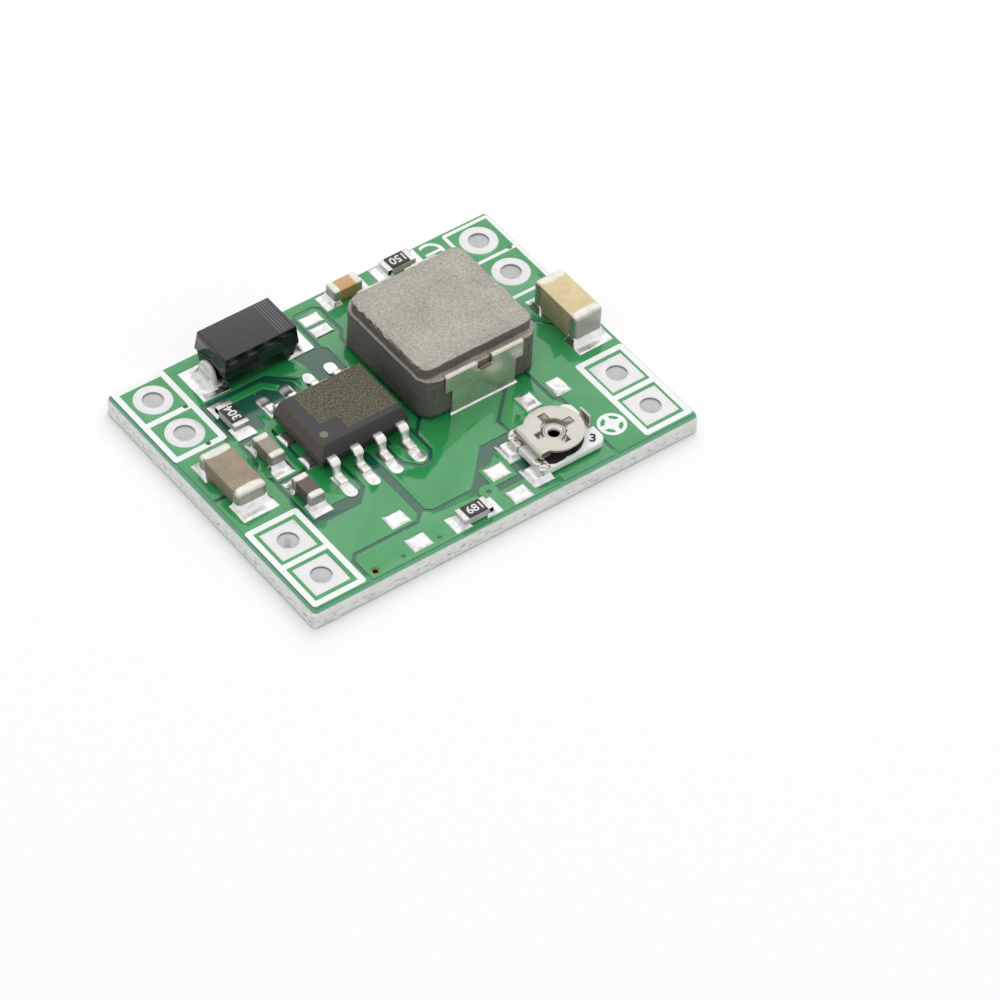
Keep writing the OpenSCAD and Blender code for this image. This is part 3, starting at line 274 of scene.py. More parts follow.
def block(bm, size, at=(0, 0, 0)):
    """A block about a point, to be shaped further."""
    made = bmesh.ops.create_cube(bm, size=1.0)["verts"]
    bmesh.ops.scale(bm, vec=size, verts=made)
    bmesh.ops.translate(bm, vec=at, verts=made)


def plate(bm, outline, way):
    """A flat outline, drawn out into a plate."""
    face = bm.faces.new([bm.verts.new(at) for at in outline])
    raised = bmesh.ops.extrude_face_region(bm, geom=[face])["geom"]
    bmesh.ops.translate(bm, vec=way, verts=points(raised))
    bmesh.ops.recalc_face_normals(bm, faces=bm.faces[:])


def soften(bm, width, segments=2, angle=30, where=None):
    """Rounds the sharp edges."""
    edges = [e for e in bm.edges if len(e.link_faces) == 2 and e.calc_face_angle(0) > math.radians(angle)
             and (where is None or where((e.verts[0].co + e.verts[1].co) / 2))]
    bmesh.ops.bevel(bm, geom=edges, offset=width * MM, segments=segments, profile=0.5, affect="EDGES",
                    clamp_overlap=True, material=-1)


def slices(bm, axis, step=None, where=None, count=None):
    """Cuts the faces into strips, of a width or a count, so that they can be shaped."""
    lo = min(v.co[axis] for v in bm.verts)
    hi = max(v.co[axis] for v in bm.verts)
    count = count or max(1, round((hi - lo) / (step * MM)))
    way = Vector([float(axis == i) for i in range(3)])
    for i in range(1, count):
        faces = [f for f in bm.faces if where is None or where(f)]
        edges = {e for f in faces for e in f.edges}
        verts = {v for f in faces for v in f.verts}
        bmesh.ops.bisect_plane(bm, geom=faces + list(edges) + list(verts), dist=1e-5 * MM,
                               plane_co=way * (lo + (hi - lo) * i / count), plane_no=way)


def roughen(bm, depth, size, where=None):
    """Pushes the surface in, unevenly, by up to depth."""
    bm.normal_update()
    moves = [(vert, vert.normal * min(noise.noise(vert.co / (size * MM)) - 0.55, 0) * depth * MM)
             for vert in bm.verts if where is None or where(vert.co)]
    lo, hi = ([end(v.co[i] for v in bm.verts) for i in range(3)] for end in (min, max))
    for vert, move in moves:
        vert.co = [min(max(c, a), b) for c, a, b in zip(vert.co + move, lo, hi)]


def piece(bm, name, material, stands_for=(), body="board", crease=40):
    """The object of a finished mesh, tied to its body."""
    mesh = bpy.data.meshes.new(name)
    bm.to_mesh(mesh)
    bm.free()
    mesh.materials.append(material)
    mesh.polygons.foreach_set("use_smooth", [True] * len(mesh.polygons))
    mesh.set_sharp_from_angle(angle=math.radians(crease))
    made = bpy.data.objects.new(name, mesh)
    bpy.context.scene.collection.objects.link(made)
    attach(made, body)
    if stands_for:
        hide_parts(*stands_for)


def rounded(node, name, material, width, segments=2, body="board", crease=50):
    """A copy of a CAD node with round edges, which stands for it."""
    bm = copy_of(node)
    soften(bm, width, segments)
    piece(bm, name, material, (node,), body, crease)


def gap_to(box, x, y):
    """How far a point of the plan lies outside a box."""
    return math.hypot(max(box[0].x - x, 0, x - box[1].x), max(box[0].y - y, 0, y - box[1].y))


def overlaps(a, b, by=0.0):
    """Whether two boxes overlap in plan."""
    return (a[0].x < b[1].x - by and a[1].x > b[0].x + by and a[0].y < b[1].y - by and a[1].y > b[0].y + by)


def pool(bm, land, part, dome, rise, run, round_end=0, lift=None, cells=30):
    """Solder that has wetted a land and climbs the part on it. A land may have one round end, at -Y or +Y."""
    lo, hi = land
    half = (hi - lo) / 2
    mid = (hi + lo) / 2
    grid = bmesh.ops.create_grid(bm, x_segments=cells, y_segments=cells, size=1.0)["verts"]
    for vert in grid:
        across = math.sin(vert.co.x * math.pi / 2)
        along = math.sin(vert.co.y * math.pi / 2)
        x, y = across * half.x, along * half.y
        past = y * round_end - (half.y - half.x)
        if round_end:
            x = across * math.sqrt(max(half.x ** 2 - max(past, 0) ** 2, 0))
            inner = min(half.x - math.hypot(x, max(past, 0)), half.y + y * round_end)
        else:
            inner = min(half.x - abs(x), half.y - abs(y))
        inner = min(max(inner, 0) / (SOLDER_RIM * MM), 1)
        skin = math.sqrt(1 - (1 - inner) ** 2)
        x, y = mid.x + x, mid.y + y
        high = dome * MM * skin * (1 + 0.4 * noise.noise(Vector((x, y, 0)) / (0.6 * MM)))
        if part:
            top = rise * MM * (lift(x, y) if lift else 1.0)
            high += skin * top * math.exp(-gap_to(part, x, y) / (run * MM))
        vert.co = (x, y, hi.z + high)
    edges = {e for v in grid for e in v.link_edges if e.is_boundary}
    walls = bmesh.ops.extrude_edge_only(bm, edges=list(edges))["geom"]
    for vert in points(walls):
        vert.co.z = lo.z
    rims = [g for g in walls if isinstance(g, bmesh.types.BMEdge) and g.is_boundary]
    bmesh.ops.holes_fill(bm, edges=rims, sides=0)


def chip_end(bm, box, axis, inward, radius, bulge):
    """One plated end of a chip: a dipped block with round corners and a curved inner border."""
    mid, half = (box[1] + box[0]) / 2, (box[1] - box[0]) / 2
    part = bmesh.new()
    block(part, box[1] - box[0], mid)
    soften(part, radius, 4)
    across = Y if axis == X else X
    for way in (across, Z):
        slices(part, way, count=10)
    for vert in part.verts:
        side = (vert.co[axis] - mid[axis]) / half[axis] * inward
        if side > 0.3:
            a = (vert.co[across] - mid[across]) / half[across]
            b = (vert.co.z - mid.z) / half.z
            wave = (1 - a * a) if abs(b) > abs(a) else (1 - b * b)
            vert.co[axis] += inward * bulge * MM * wave * side
        vert.co.z += 0.012 * MM * noise.noise(vert.co / (0.35 * MM))
    join(bm, part)


def turned(bm, profile, centre, segments=64):
    """A closed outline of radii and heights, in millimetres, turned about an upright axis."""
    part = bmesh.new()
    verts = [part.verts.new((centre[X] + r * MM, centre[Y], centre[Z] + z * MM)) for r, z in profile]
    edges = [part.edges.new(pair) for pair in zip(verts, verts[1:] + verts[:1])]
    bmesh.ops.spin(part, geom=verts + edges, cent=centre, axis=(0, 0, 1), angle=math.tau, steps=segments,
                   use_merge=True)
    bmesh.ops.remove_doubles(part, verts=part.verts[:], dist=1e-4 * MM)
    bmesh.ops.delete(part, geom=[e for e in part.edges if not e.link_faces], context="EDGES")
    bmesh.ops.recalc_face_normals(part, faces=part.faces[:])
    join(bm, part)


def gull_wing(bm, box):
    """A lead bent like a gull's wing: a level shoulder, a round knee, a leaning leg and a flat foot."""
    lo, hi = box
    out = 1 if lo.y + hi.y > 0 else -1
    thick, bend, lean, foot = 0.2 * MM, 0.23 * MM, math.radians(80), 0.42 * MM
    start, tip = (lo.y, hi.y) if out > 0 else (hi.y, lo.y)
    drop = (hi.z - lo.z) - thick
    leg = (drop - 2 * bend * (1 - math.cos(lean))) / math.sin(lean)
    run = 2 * bend * math.sin(lean) + leg * math.cos(lean)
    # Lengths along the strip at which the knee, the leg, the ankle and the foot begin, and its whole length.
    knee = abs(tip - start) - run - foot
    shin = knee + bend * lean
    ankle = shin + leg
    sole = ankle + bend * lean
    whole = sole + foot
    part = bmesh.new()
    block(part, (hi.x - lo.x, whole, thick))
    soften(part, 0.06, 4)
    slices(part, Y, count=48)
    for vert in part.verts:
        s, h = vert.co.y + whole / 2, vert.co.z
        turn = min(max(s - knee, 0) / bend, lean)
        y = min(s, knee) + bend * math.sin(turn)
        z = -bend * (1 - math.cos(turn))
        if s > shin:
            down = min(s, ankle) - shin
            y, z = y + down * math.cos(lean), z - down * math.sin(lean)
        if s > ankle:
            back = min((s - ankle) / bend, lean)
            y += bend * (math.sin(lean) - math.sin(lean - back))
            z -= bend * (math.cos(lean - back) - math.cos(lean))
            turn = lean - back
        y += max(s - sole, 0)
        narrow = min(max((s - shin + 0.06 * MM) / (0.16 * MM), 0), 1)
        spread = min(max((s - ankle) / (0.2 * MM), 0), 1)
        wide = 1.18 - 0.34 * narrow * narrow * (3 - 2 * narrow) + 0.2 * spread
        vert.co = ((lo.x + hi.x) / 2 + vert.co.x * wide, start + out * (y + h * math.sin(turn)),
                   hi.z - thick / 2 + z + h * math.cos(turn))
    if out < 0:
        bmesh.ops.reverse_faces(part, faces=part.faces[:])
    join(bm, part)


def lettering(text, height, at, turn, name, material, depth=0.012, weight=0.02):
    """Plain figures as a thin raised print, centred on a point of an upper face."""
    curve = bpy.data.curves.new(name, "FONT")
    curve.body = text
    curve.size = 1.0
    curve.extrude = 0.5
    curve.offset = weight
    curve.align_x = curve.align_y = "CENTER"
    curve.resolution_u = 4
    holder = bpy.data.objects.new(name, curve)
    bpy.context.scene.collection.objects.link(holder)
    bpy.context.view_layer.update()
    mesh = bpy.data.meshes.new_from_object(holder.evaluated_get(bpy.context.evaluated_depsgraph_get()))
    bpy.data.objects.remove(holder)
    bm = bmesh.new()
    bm.from_mesh(mesh)
    bmesh.ops.remove_doubles(bm, verts=bm.verts, dist=1e-5)
    low, high = ([end(v.co[i] for v in bm.verts) for i in (X, Y)] for end in (min, max))
    scale = height * MM / (high[Y] - low[Y])
    bmesh.ops.translate(bm, vec=(-(high[X] + low[X]) / 2, -(high[Y] + low[Y]) / 2, 0), verts=bm.verts)
    bmesh.ops.scale(bm, vec=(scale, scale, depth * MM), verts=bm.verts)
    bmesh.ops.rotate(bm, matrix=Matrix.Rotation(math.radians(turn), 3, "Z"), verts=bm.verts)
    bmesh.ops.translate(bm, vec=at + Vector((0, 0, 0.3 * depth * MM)), verts=bm.verts)
    piece(bm, name, material, crease=30)


# ---------------------------------------------------------------- settings

class BoardSettings(bpy.types.PropertyGroup):
    over_copper: colour("Mask over copper", "Green of the solder mask where copper lies under it", "2c9652")
    over_laminate: colour("Mask over laminate", "Green of the solder mask where the copper is etched away",
                          "1b5a44")
    rim_green: colour("Mask at the rim", "Green of the thin mask along the board's edge", "2f8a5c")
    ink: colour("Print", "White of the screen-printed ink", "fafcfb")
    edge_depth: length("Edge chips", "How deep the broken edge of the laminate is torn", 0.07)
    mask_level: length("Mask step", "Height that parts the mask over copper from the mask over laminate",
                       BOARD_TOP / MM - MASK_RELIEF)


class SolderSettings(bpy.types.PropertyGroup):
    dome: length("Dome", "How high solder stands on a land that carries no part", 0.09)
    skin: length("Skin", "How high solder stands on the land of a part", 0.03)
    run: length("Run", "How far a fillet runs out from a part", 0.11)


class PackageSettings(bpy.types.PropertyGroup):
    smooth_plastic: colour("Moulded plastic", "Grey of the smooth packages", "3b3839")
    ground_plastic: colour("Ground plastic", "Brown of the ground patch", "575343")
    powder: colour("Core powder", "Grey of the pressed core", "aaa69a")
    rounding: length("Rounding", "Edge radius of the moulded packages", 0.05)


class StageSettings(bpy.types.PropertyGroup):
    zenith: FloatProperty(name="Zenith", description="Light of the sky overhead", default=1.05, min=0)
    horizon: FloatProperty(name="Horizon", description="Light of the sky at the horizon", default=0.35, min=0)
    key: FloatProperty(name="Key lamp", description="Power of the large lamp above", default=0.45, min=0,
                       unit="POWER")
    panel: FloatProperty(name="Panel", description="Power of the panel that the gloss mirrors", default=0.3,
                         min=0, unit="POWER")
    floor: colour("Floor", "Colour of the floor", "f0f0f0")


# ---------------------------------------------------------------- operators

class MODULE_OT_board(bpy.types.Operator):
    """Board: torn laminate edge, glossy mask, white print, tinned holes"""
    bl_idname = "module.board"
    bl_label = "Board"

    def execute(self, context):
        opts = context.scene.module_board
        self.laminate(opts)
        self.mask(opts)
        # Screen-printed epoxy ink: matt, a little thin at its borders.
        ink = finish("screen_printed_white_ink", "eef4f0", opts.ink, 0.06, (0.45, 0.6), bump=0.004)
        dress("silkscreen", ink)
        bm = bmesh.new()
        turned(bm, [(0, 0), (0.33, 0), (0.33, 0.014), (0, 0.014)],
               (PLUS_AT[X] * MM, PLUS_AT[Y] * MM, BOARD_TOP), 32)
        piece(bm, "plus_centre", ink)
        # Etched copper: seen only at the rims of the open holes.
        copper = finish("etched_copper_foil", "6d6a3e", "93904f", 0.05, (0.35, 0.5), metallic=0.8)
        for node in ("copper_top", "copper_bottom", "via_plating"):
            dress(node, copper)
        # Hot-air levelled tin: satin white metal, faintly clouded, with painted shade just inside the mouth
        # of each hole and painted light deeper down its bore.
        tin = finish("levelled_tin_pads", "dcdadb", "ebe9ea", 0.05, (0.4, 0.5), metallic=0.3, bump=0.004)
        by_depth(tin, ((0.03, "757478"), (0.09, "98979a"), (0.16, "f0f0f0"), (0.26, "ffffff")))
        bm = copy_of("terminal_hole_plating")
        soften(bm, 0.02, 2, where=lambda p: p.z > BOARD_TOP - 0.01 * MM)
        piece(bm, "tinned_holes", tin, ("terminal_hole_plating",))
        return {"FINISHED"}

    def laminate(self, opts):
        # Woven glass in epoxy, scored and snapped: pale, layered and fibrous, with painted shade in its torn
        # gaps.
        material, tree, shader, place = blank("snapped_glass_epoxy_laminate", roughness=0.7)
        plies = add(tree, "Mapping", {"Vector": place, "Scale": (1, 1, 9)})
        strands = add(tree, "TexNoise", {
            "Vector": plies, "Scale": per(0.5), "Detail": 6.0, "Roughness": 0.75})
        cloud = add(tree, "TexNoise", {"Vector": place, "Scale": per(0.5), "Detail": 4.0})
        both = add(tree, "Mix", {0: 0.2, 2: strands, 3: cloud})
        layered = add(tree, "ValToRGB", {"Fac": both}, ((0.32, "9aa394"), (0.4, "e4e7df"), (0.52, "fdfefb")))
        # Painted shade: dark dashes where the gaps between torn threads lie, fewer away from the middle of
        # the thickness.
        threads = add(tree, "Mapping", {"Vector": place, "Scale": (1, 1, 7)})
        gaps = add(tree, "TexNoise", {"Vector": threads, "Scale": per(0.42), "Detail": 2.0})
        height = add(tree, "SeparateXYZ", {"Vector": place}).node.outputs[Z]
        off = apart(tree, height, TORN_LEVEL * MM)
        fewer = add(tree, "MapRange", {
            "Value": off, "From Min": 0.12 * MM, "From Max": 0.4 * MM, "To Max": 0.12})
        gap_shade = add(tree, "Math", {0: gaps, 1: fewer}, operation="SUBTRACT")
        dark = add(tree, "MapRange", {"Value": gap_shade, "From Min": 0.57, "From Max": 0.67})
        torn_colour = add(tree, "Mix", {0: dark, 6: layered, 7: "868d80"}, data_type="RGBA")
        raised = add(tree, "Bump", {"Height": strands, "Distance": 0.05 * MM, "Strength": 1.0})
        wire(shader, {"Base Color": torn_colour, "Normal": raised})
        bm = copy_of("board_laminate")
        lo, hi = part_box("board_laminate")

        def from_rim(at):
            return min(at.x - lo.x, hi.x - at.x, at.y - lo.y, hi.y - at.y)

        def torn(face):
            return abs(face.normal.z) < 0.95 and from_rim(face.calc_center_median()) < 0.5 * MM

        for axis, step in ((X, 0.13), (Y, 0.13), (Z, 0.1)):
            slices(bm, axis, step, torn)
        middle = (lo + hi) / 2
        edge, nib_reach, nib_height = 0.35 * MM, 0.3 * MM, 0.16 * MM
        nibs = [Vector(at) * MM for at in (
            (-11, 4, 0.22), (-8.3, -8.5, 0.55), (-10.2, -8.5, 0.4), (-11, 1.3, 0.6), (-9.7, -8.5, 0.2),
            (-11, -4.1, 0.35), (2.6, -8.5, 0.5))]
        for vert in bm.verts:
            co = vert.co
            if from_rim(co) >= edge:
                continue
            level = (co.z - lo.z) / (hi.z - lo.z)
            strand = noise.noise(Vector((co.x / 0.5, co.y / 0.5, co.z / 0.09)) / MM)
            tear = noise.noise(Vector((co.x / 1.6, co.y / 1.6, co.z / 0.4)) / MM)
            depth = opts.edge_depth * max(0.0, 0.35 - 0.7 * strand + 0.5 * tear)
            depth *= 0.2 + 0.8 * math.sin(math.pi * min(max(level, 0), 1))
            way = Vector((0, 0, 0))
            for axis in (X, Y):
                if min(co[axis] - lo[axis], hi[axis] - co[axis]) < edge:
                    way[axis] = 1 if co[axis] < middle[axis] else -1
            vert.co = co + way * depth
            near = min((co - nib).length for nib in nibs) / nib_reach
            if near < 1:
                vert.co = co - way * nib_height * (1 - near)
                for axis in (X, Y):
                    vert.co[axis] = min(max(vert.co[axis], lo[axis]), hi[axis])
        piece(bm, "torn_laminate", material, ("board_laminate",), crease=60)

    def mask(self, opts):
        # Liquid photoimageable mask, cured: a clear green gloss, lighter over copper, that mirrors the parts.
        material, tree, shader, place = blank("cured_gloss_solder_mask", roughness=0.16, coat=0.75,
                                              coat_roughness=0.03)
        parts = add(tree, "SeparateXYZ", {"Vector": place}).node.outputs
        over = add(tree, "MapRange", {"Value": parts[Z], "From Min": opts.mask_level - 0.006 * MM,
                                      "From Max": opts.mask_level + 0.006 * MM})
        cloud = add(tree, "TexNoise", {"Vector": place, "Scale": per(1.5), "Detail": 3.0})
        grit = add(tree, "TexNoise", {"Vector": place, "Scale": per(0.05), "Detail": 2.0})
        lo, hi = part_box("solder_mask_top")
        past = {}
        for axis in (X, Y):
            off = apart(tree, parts[axis], (lo[axis] + hi[axis]) / 2)
            reach = (hi[axis] - lo[axis]) / 2 - 0.3 * MM
            past[axis] = add(tree, "Math", {0: off, 1: reach}, operation="SUBTRACT")
        rim = add(tree, "Math", past, operation="MAXIMUM")
        lit = add(tree, "MapRange", {"Value": rim, "From Min": -0.4 * MM, "From Max": -0.2 * MM})
        low = add(tree, "Mix", {0: lit, 6: opts.over_laminate, 7: opts.rim_green}, data_type="RGBA")
        green = add(tree, "Mix", {0: over, 6: low, 7: opts.over_copper}, data_type="RGBA")
        # Painted highlight: the step between the two levels is lightened as if it caught the light. Painted
        # light: the cut edge is made pale, so that the shade along its wall does not show.
        from_step = apart(tree, parts[Z], BOARD_TOP - STEP_MIDDLE * MM)
        step_highlight = add(tree, "MapRange", {
            "Value": from_step, "From Min": 0.013 * MM, "From Max": 0.008 * MM, "To Max": 0.8})
        green = add(tree, "Mix", {0: step_highlight, 6: green, 7: "7ed0a0"}, data_type="RGBA")
        painted_edge_light = add(tree, "MapRange", {"Value": rim, "From Min": 0.26 * MM, "From Max": 0.31 * MM})
        green = add(tree, "Mix", {0: painted_edge_light, 6: green, 7: "b7d3c3"}, data_type="RGBA")
        shade = add(tree, "Mix", {0: 0.3, 2: cloud, 3: grit})
        level = add(tree, "MapRange", {
            "Value": shade, "From Min": 0.3, "From Max": 0.7, "To Min": 0.93, "To Max": 1.07})
        toned = add(tree, "HueSaturation", {"Color": green, "Value": level})
        specks = add(tree, "TexVoronoi", {
            "Vector": place, "Scale": per(0.7), "Randomness": 1.0}, feature="F1")
        tiny = add(tree, "Math", {0: specks, 1: 0.035}, operation="LESS_THAN")
        dusty = add(tree, "Mix", {0: tiny, 6: toned, 7: "a8d0b4"}, data_type="RGBA")
        raised = add(tree, "Bump", {"Height": cloud, "Distance": 0.02 * MM, "Strength": 0.25})
        wire(shader, {"Base Color": dusty, "Normal": raised})
        dress("solder_mask_bottom", material)
        bm = copy_of("solder_mask_top")
        soften(bm, 0.02, 2, angle=50, where=lambda p: abs(p.z - BOARD_TOP) < 1e-3 * MM)
        piece(bm, "flowed_mask", material, ("solder_mask_top",), crease=35)
        # Mask that has sunk into the small holes, all but the open one in the front corner.
        sunk = [(0, -0.06), (0.05, -0.058), (0.1, -0.045), (0.135, -0.012), (0.135, -0.12), (0, -0.12)]
        bm = bmesh.new()
        for low, high in islands("via_plating"):
            if low.x > OPEN_CORNER[X] * MM or low.y > OPEN_CORNER[Y] * MM:
                at = (low + high) / 2
                turned(bm, sunk, (at.x, at.y, BOARD_TOP), 24)
        piece(bm, "mask_in_vias", material, crease=60)


class MODULE_OT_solder(bpy.types.Operator):
    """Solder: domed spare lands and fillets that climb the parts"""
    bl_idname = "module.solder"
    bl_label = "Solder"

    def execute(self, context):
        opts = context.scene.module_solder
        # Reflowed tin solder: a bright skin that mirrors its surroundings, slightly frosted in patches.
        solder = finish("reflowed_tin_solder", "c6c6c5", "f1f1f0", 0.26, (0.18, 0.34), metallic=1.0,
                        bump=0.0015, drift=4.0)
        dome, skin, run = opts.dome / MM, opts.skin / MM, opts.run / MM
        ends = islands(*(name + "_capacitor_ends" for name in CERAMIC_TONES),
                       *(name + "_resistor_ends" for name in FIGURES))
        leads = islands("controller_leads")
        anode, cathode = islands("diode_anode_lead", "diode_cathode_lead")
        clips = islands("inductor_front_terminal", "inductor_rear_terminal")
        crimps = islands("trimmer_rear_terminal", "trimmer_front_terminal", "trimmer_wiper_terminal")
        fin_box = (anode[0], Vector((anode[0].x + 0.2 * MM, anode[1].y, anode[1].z)))

        def fin(x, y):
            climb = min(max((y - anode[0].y + 0.12 * MM) / (0.5 * MM), 0.1), 1.0) ** 1.3
            return climb * min(max((anode[1].y + 0.1 * MM - y) / (0.4 * MM), 0.0), 1.0)

        bm = bmesh.new()
        for land in islands("tinned_lands"):
            lead = [b for b in leads if overlaps(land, b)]
            end = [b for b in ends if overlaps(land, b)]
            clip = [b for b in clips if overlaps(land, b, 0.1 * MM)]
            crimp = [b for b in crimps if overlaps(land, b)]
            if lead:
                pool(bm, land, lead[0], skin, 0.12, 0.09, round_end=1 if land[0].y > 0 else -1)
            elif end:
                tall = (end[0][1].z - end[0][0].z) / MM
                pool(bm, land, end[0], skin, min(0.3 * tall, 0.34), run)
            elif overlaps(land, anode):
                pool(bm, land, fin_box, skin, 0.72, 0.16, lift=fin, cells=72)
            elif overlaps(land, cathode):
                pool(bm, land, cathode, skin, 0.5, run)
            elif clip:
                pool(bm, land, clip[0], skin, 0.1, 0.05)
            elif crimp:
                pool(bm, land, crimp[0], skin, 0.2, 0.08)
            else:
                pool(bm, land, None, dome, 0, run)
        piece(bm, "solder_pools", solder, ("tinned_lands", "solder_joints"), crease=75)
        return {"FINISHED"}


class MODULE_OT_controller(bpy.types.Operator):
    """Switching controller: moulded body with a ground patch, and its eight leads"""
    bl_idname = "module.controller"
    bl_label = "Controller"

    def execute(self, context):
        opts = context.scene.module_packages
        lo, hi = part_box("controller_body")
        bm = copy_of("controller_body")
        soften(bm, opts.rounding / MM * 2, 4, angle=20)

        def upper(face):
            return face.normal.z > 0.95 and face.calc_center_median().z > hi.z - 0.02 * MM

        def left(face):
            return face.normal.x < -0.7

        for axis, step, where in ((X, 0.055, upper), (Y, 0.055, upper), (Y, 0.1, left), (Z, 0.1, left)):
            slices(bm, axis, step, where)
        roughen(bm, 0.05, 0.16, lambda p: p.x < lo.x + 0.35 * MM and lo.z + 0.1 * MM < p.z < hi.z - 0.12 * MM)
        bm.normal_update()
        for vert in bm.verts:
            x, y = vert.co.x / MM, vert.co.y / MM
            ground = any(x > left + 0.04 and y > low + 0.04 for left, low in GROUND_PARTS)
            if vert.co.z > hi.z - 0.001 * MM and ground and all(f.normal.z > 0.95 for f in vert.link_faces):
                vert.co.z -= 0.03 * MM * (0.5 + noise.noise(Vector((x, y, 0)) / 0.09))
        plastic = self.plastic(opts, hi.z)
        piece(bm, "ground_controller_body", plastic, ("controller_body",))
        # Bent copper alloy, matt tin plated: soft white metal with bright bends.
        tin = finish("matt_tin_plated_leads", "e9e5de", "fdfaf5", 0.05, (0.24, 0.34), metallic=0.6,
                     bump=0.004)
        bm = bmesh.new()
        for box in islands("controller_leads"):
            gull_wing(bm, box)
        piece(bm, "gull_wing_leads", tin, ("controller_leads",), crease=50)
        return {"FINISHED"}

    def plastic(self, opts, top):
        # Moulded epoxy, its marking ground away: a smooth violet-grey rim round a gritty brown field.
        material, tree, shader, place = blank("moulded_epoxy_ground_top", roughness=0.5)
        parts = add(tree, "SeparateXYZ", {"Vector": place}).node.outputs
        wander = add(tree, "TexNoise", {"Vector": place, "Scale": per(0.25), "Detail": 2.0})

        def past(value, limit):
            moved = add(tree, "Math", {0: wander, 1: 0.14 * MM, 2: value}, operation="MULTIPLY_ADD")
            return add(tree, "Math", {0: moved, 1: limit * MM + 0.07 * MM}, operation="GREATER_THAN")

        fields = [add(tree, "Math", {0: past(parts[X], left), 1: past(parts[Y], low)}, operation="MINIMUM")
                  for left, low in GROUND_PARTS]
        field = add(tree, "Math", {0: fields[0], 1: fields[1]}, operation="MAXIMUM")
        flat = add(tree, "Math", {0: parts[Z], 1: top - 0.06 * MM}, operation="GREATER_THAN")
        ground = add(tree, "Math", {0: field, 1: flat}, operation="MINIMUM")
        grit = add(tree, "TexNoise", {"Vector": place, "Scale": per(0.06), "Detail": 3.0, "Roughness": 0.6})
        gritty = add(tree, "ValToRGB", {"Fac": grit}, (
            (0.34, "2d2a22"), (0.5, opts.ground_plastic), (0.68, "918c78")))
        smooth = add(tree, "TexNoise", {"Vector": place, "Scale": per(0.06), "Detail": 2.0})
        plain = add(tree, "Mix", {0: smooth, 6: "272526", 7: opts.smooth_plastic}, data_type="RGBA")
        dot_at = (PIN_DOT_AT[X] * MM, PIN_DOT_AT[Y] * MM, top)
        from_dot = add(tree, "VectorMath", {0: place, 1: dot_at}, operation="DISTANCE")
        dot = add(tree, "Math", {0: from_dot, 1: PIN_DOT_R * MM}, operation="LESS_THAN")
        spotted = add(tree, "Mix", {0: dot, 6: plain, 7: "7d7563"}, data_type="RGBA")
        topped = add(tree, "Mix", {0: ground, 6: spotted, 7: gritty}, data_type="RGBA")
        # The wall on the left is scuffed brown too.
        normal = add(tree, "NewGeometry").node.outputs["Normal"]
        leftward = add(tree, "SeparateXYZ", {"Vector": normal}).node.outputs[X]
        wall = add(tree, "Math", {0: leftward, 1: -0.45}, operation="LESS_THAN")
        scuffed = add(tree, "Mix", {0: grit, 6: "1d1b18", 7: "7d786a"}, data_type="RGBA")
        whole = add(tree, "Mix", {0: wall, 6: topped, 7: scuffed}, data_type="RGBA")
        worn = add(tree, "Math", {0: ground, 1: wall}, operation="MAXIMUM")
        dull = add(tree, "MapRange", {"Value": worn, "To Min": 0.42, "To Max": 0.85})
        raised = add(tree, "Bump", {"Height": smooth, "Distance": 0.006 * MM, "Strength": 1.0})
        wire(shader, {"Base Color": whole, "Roughness": dull, "Normal": raised})
        return material


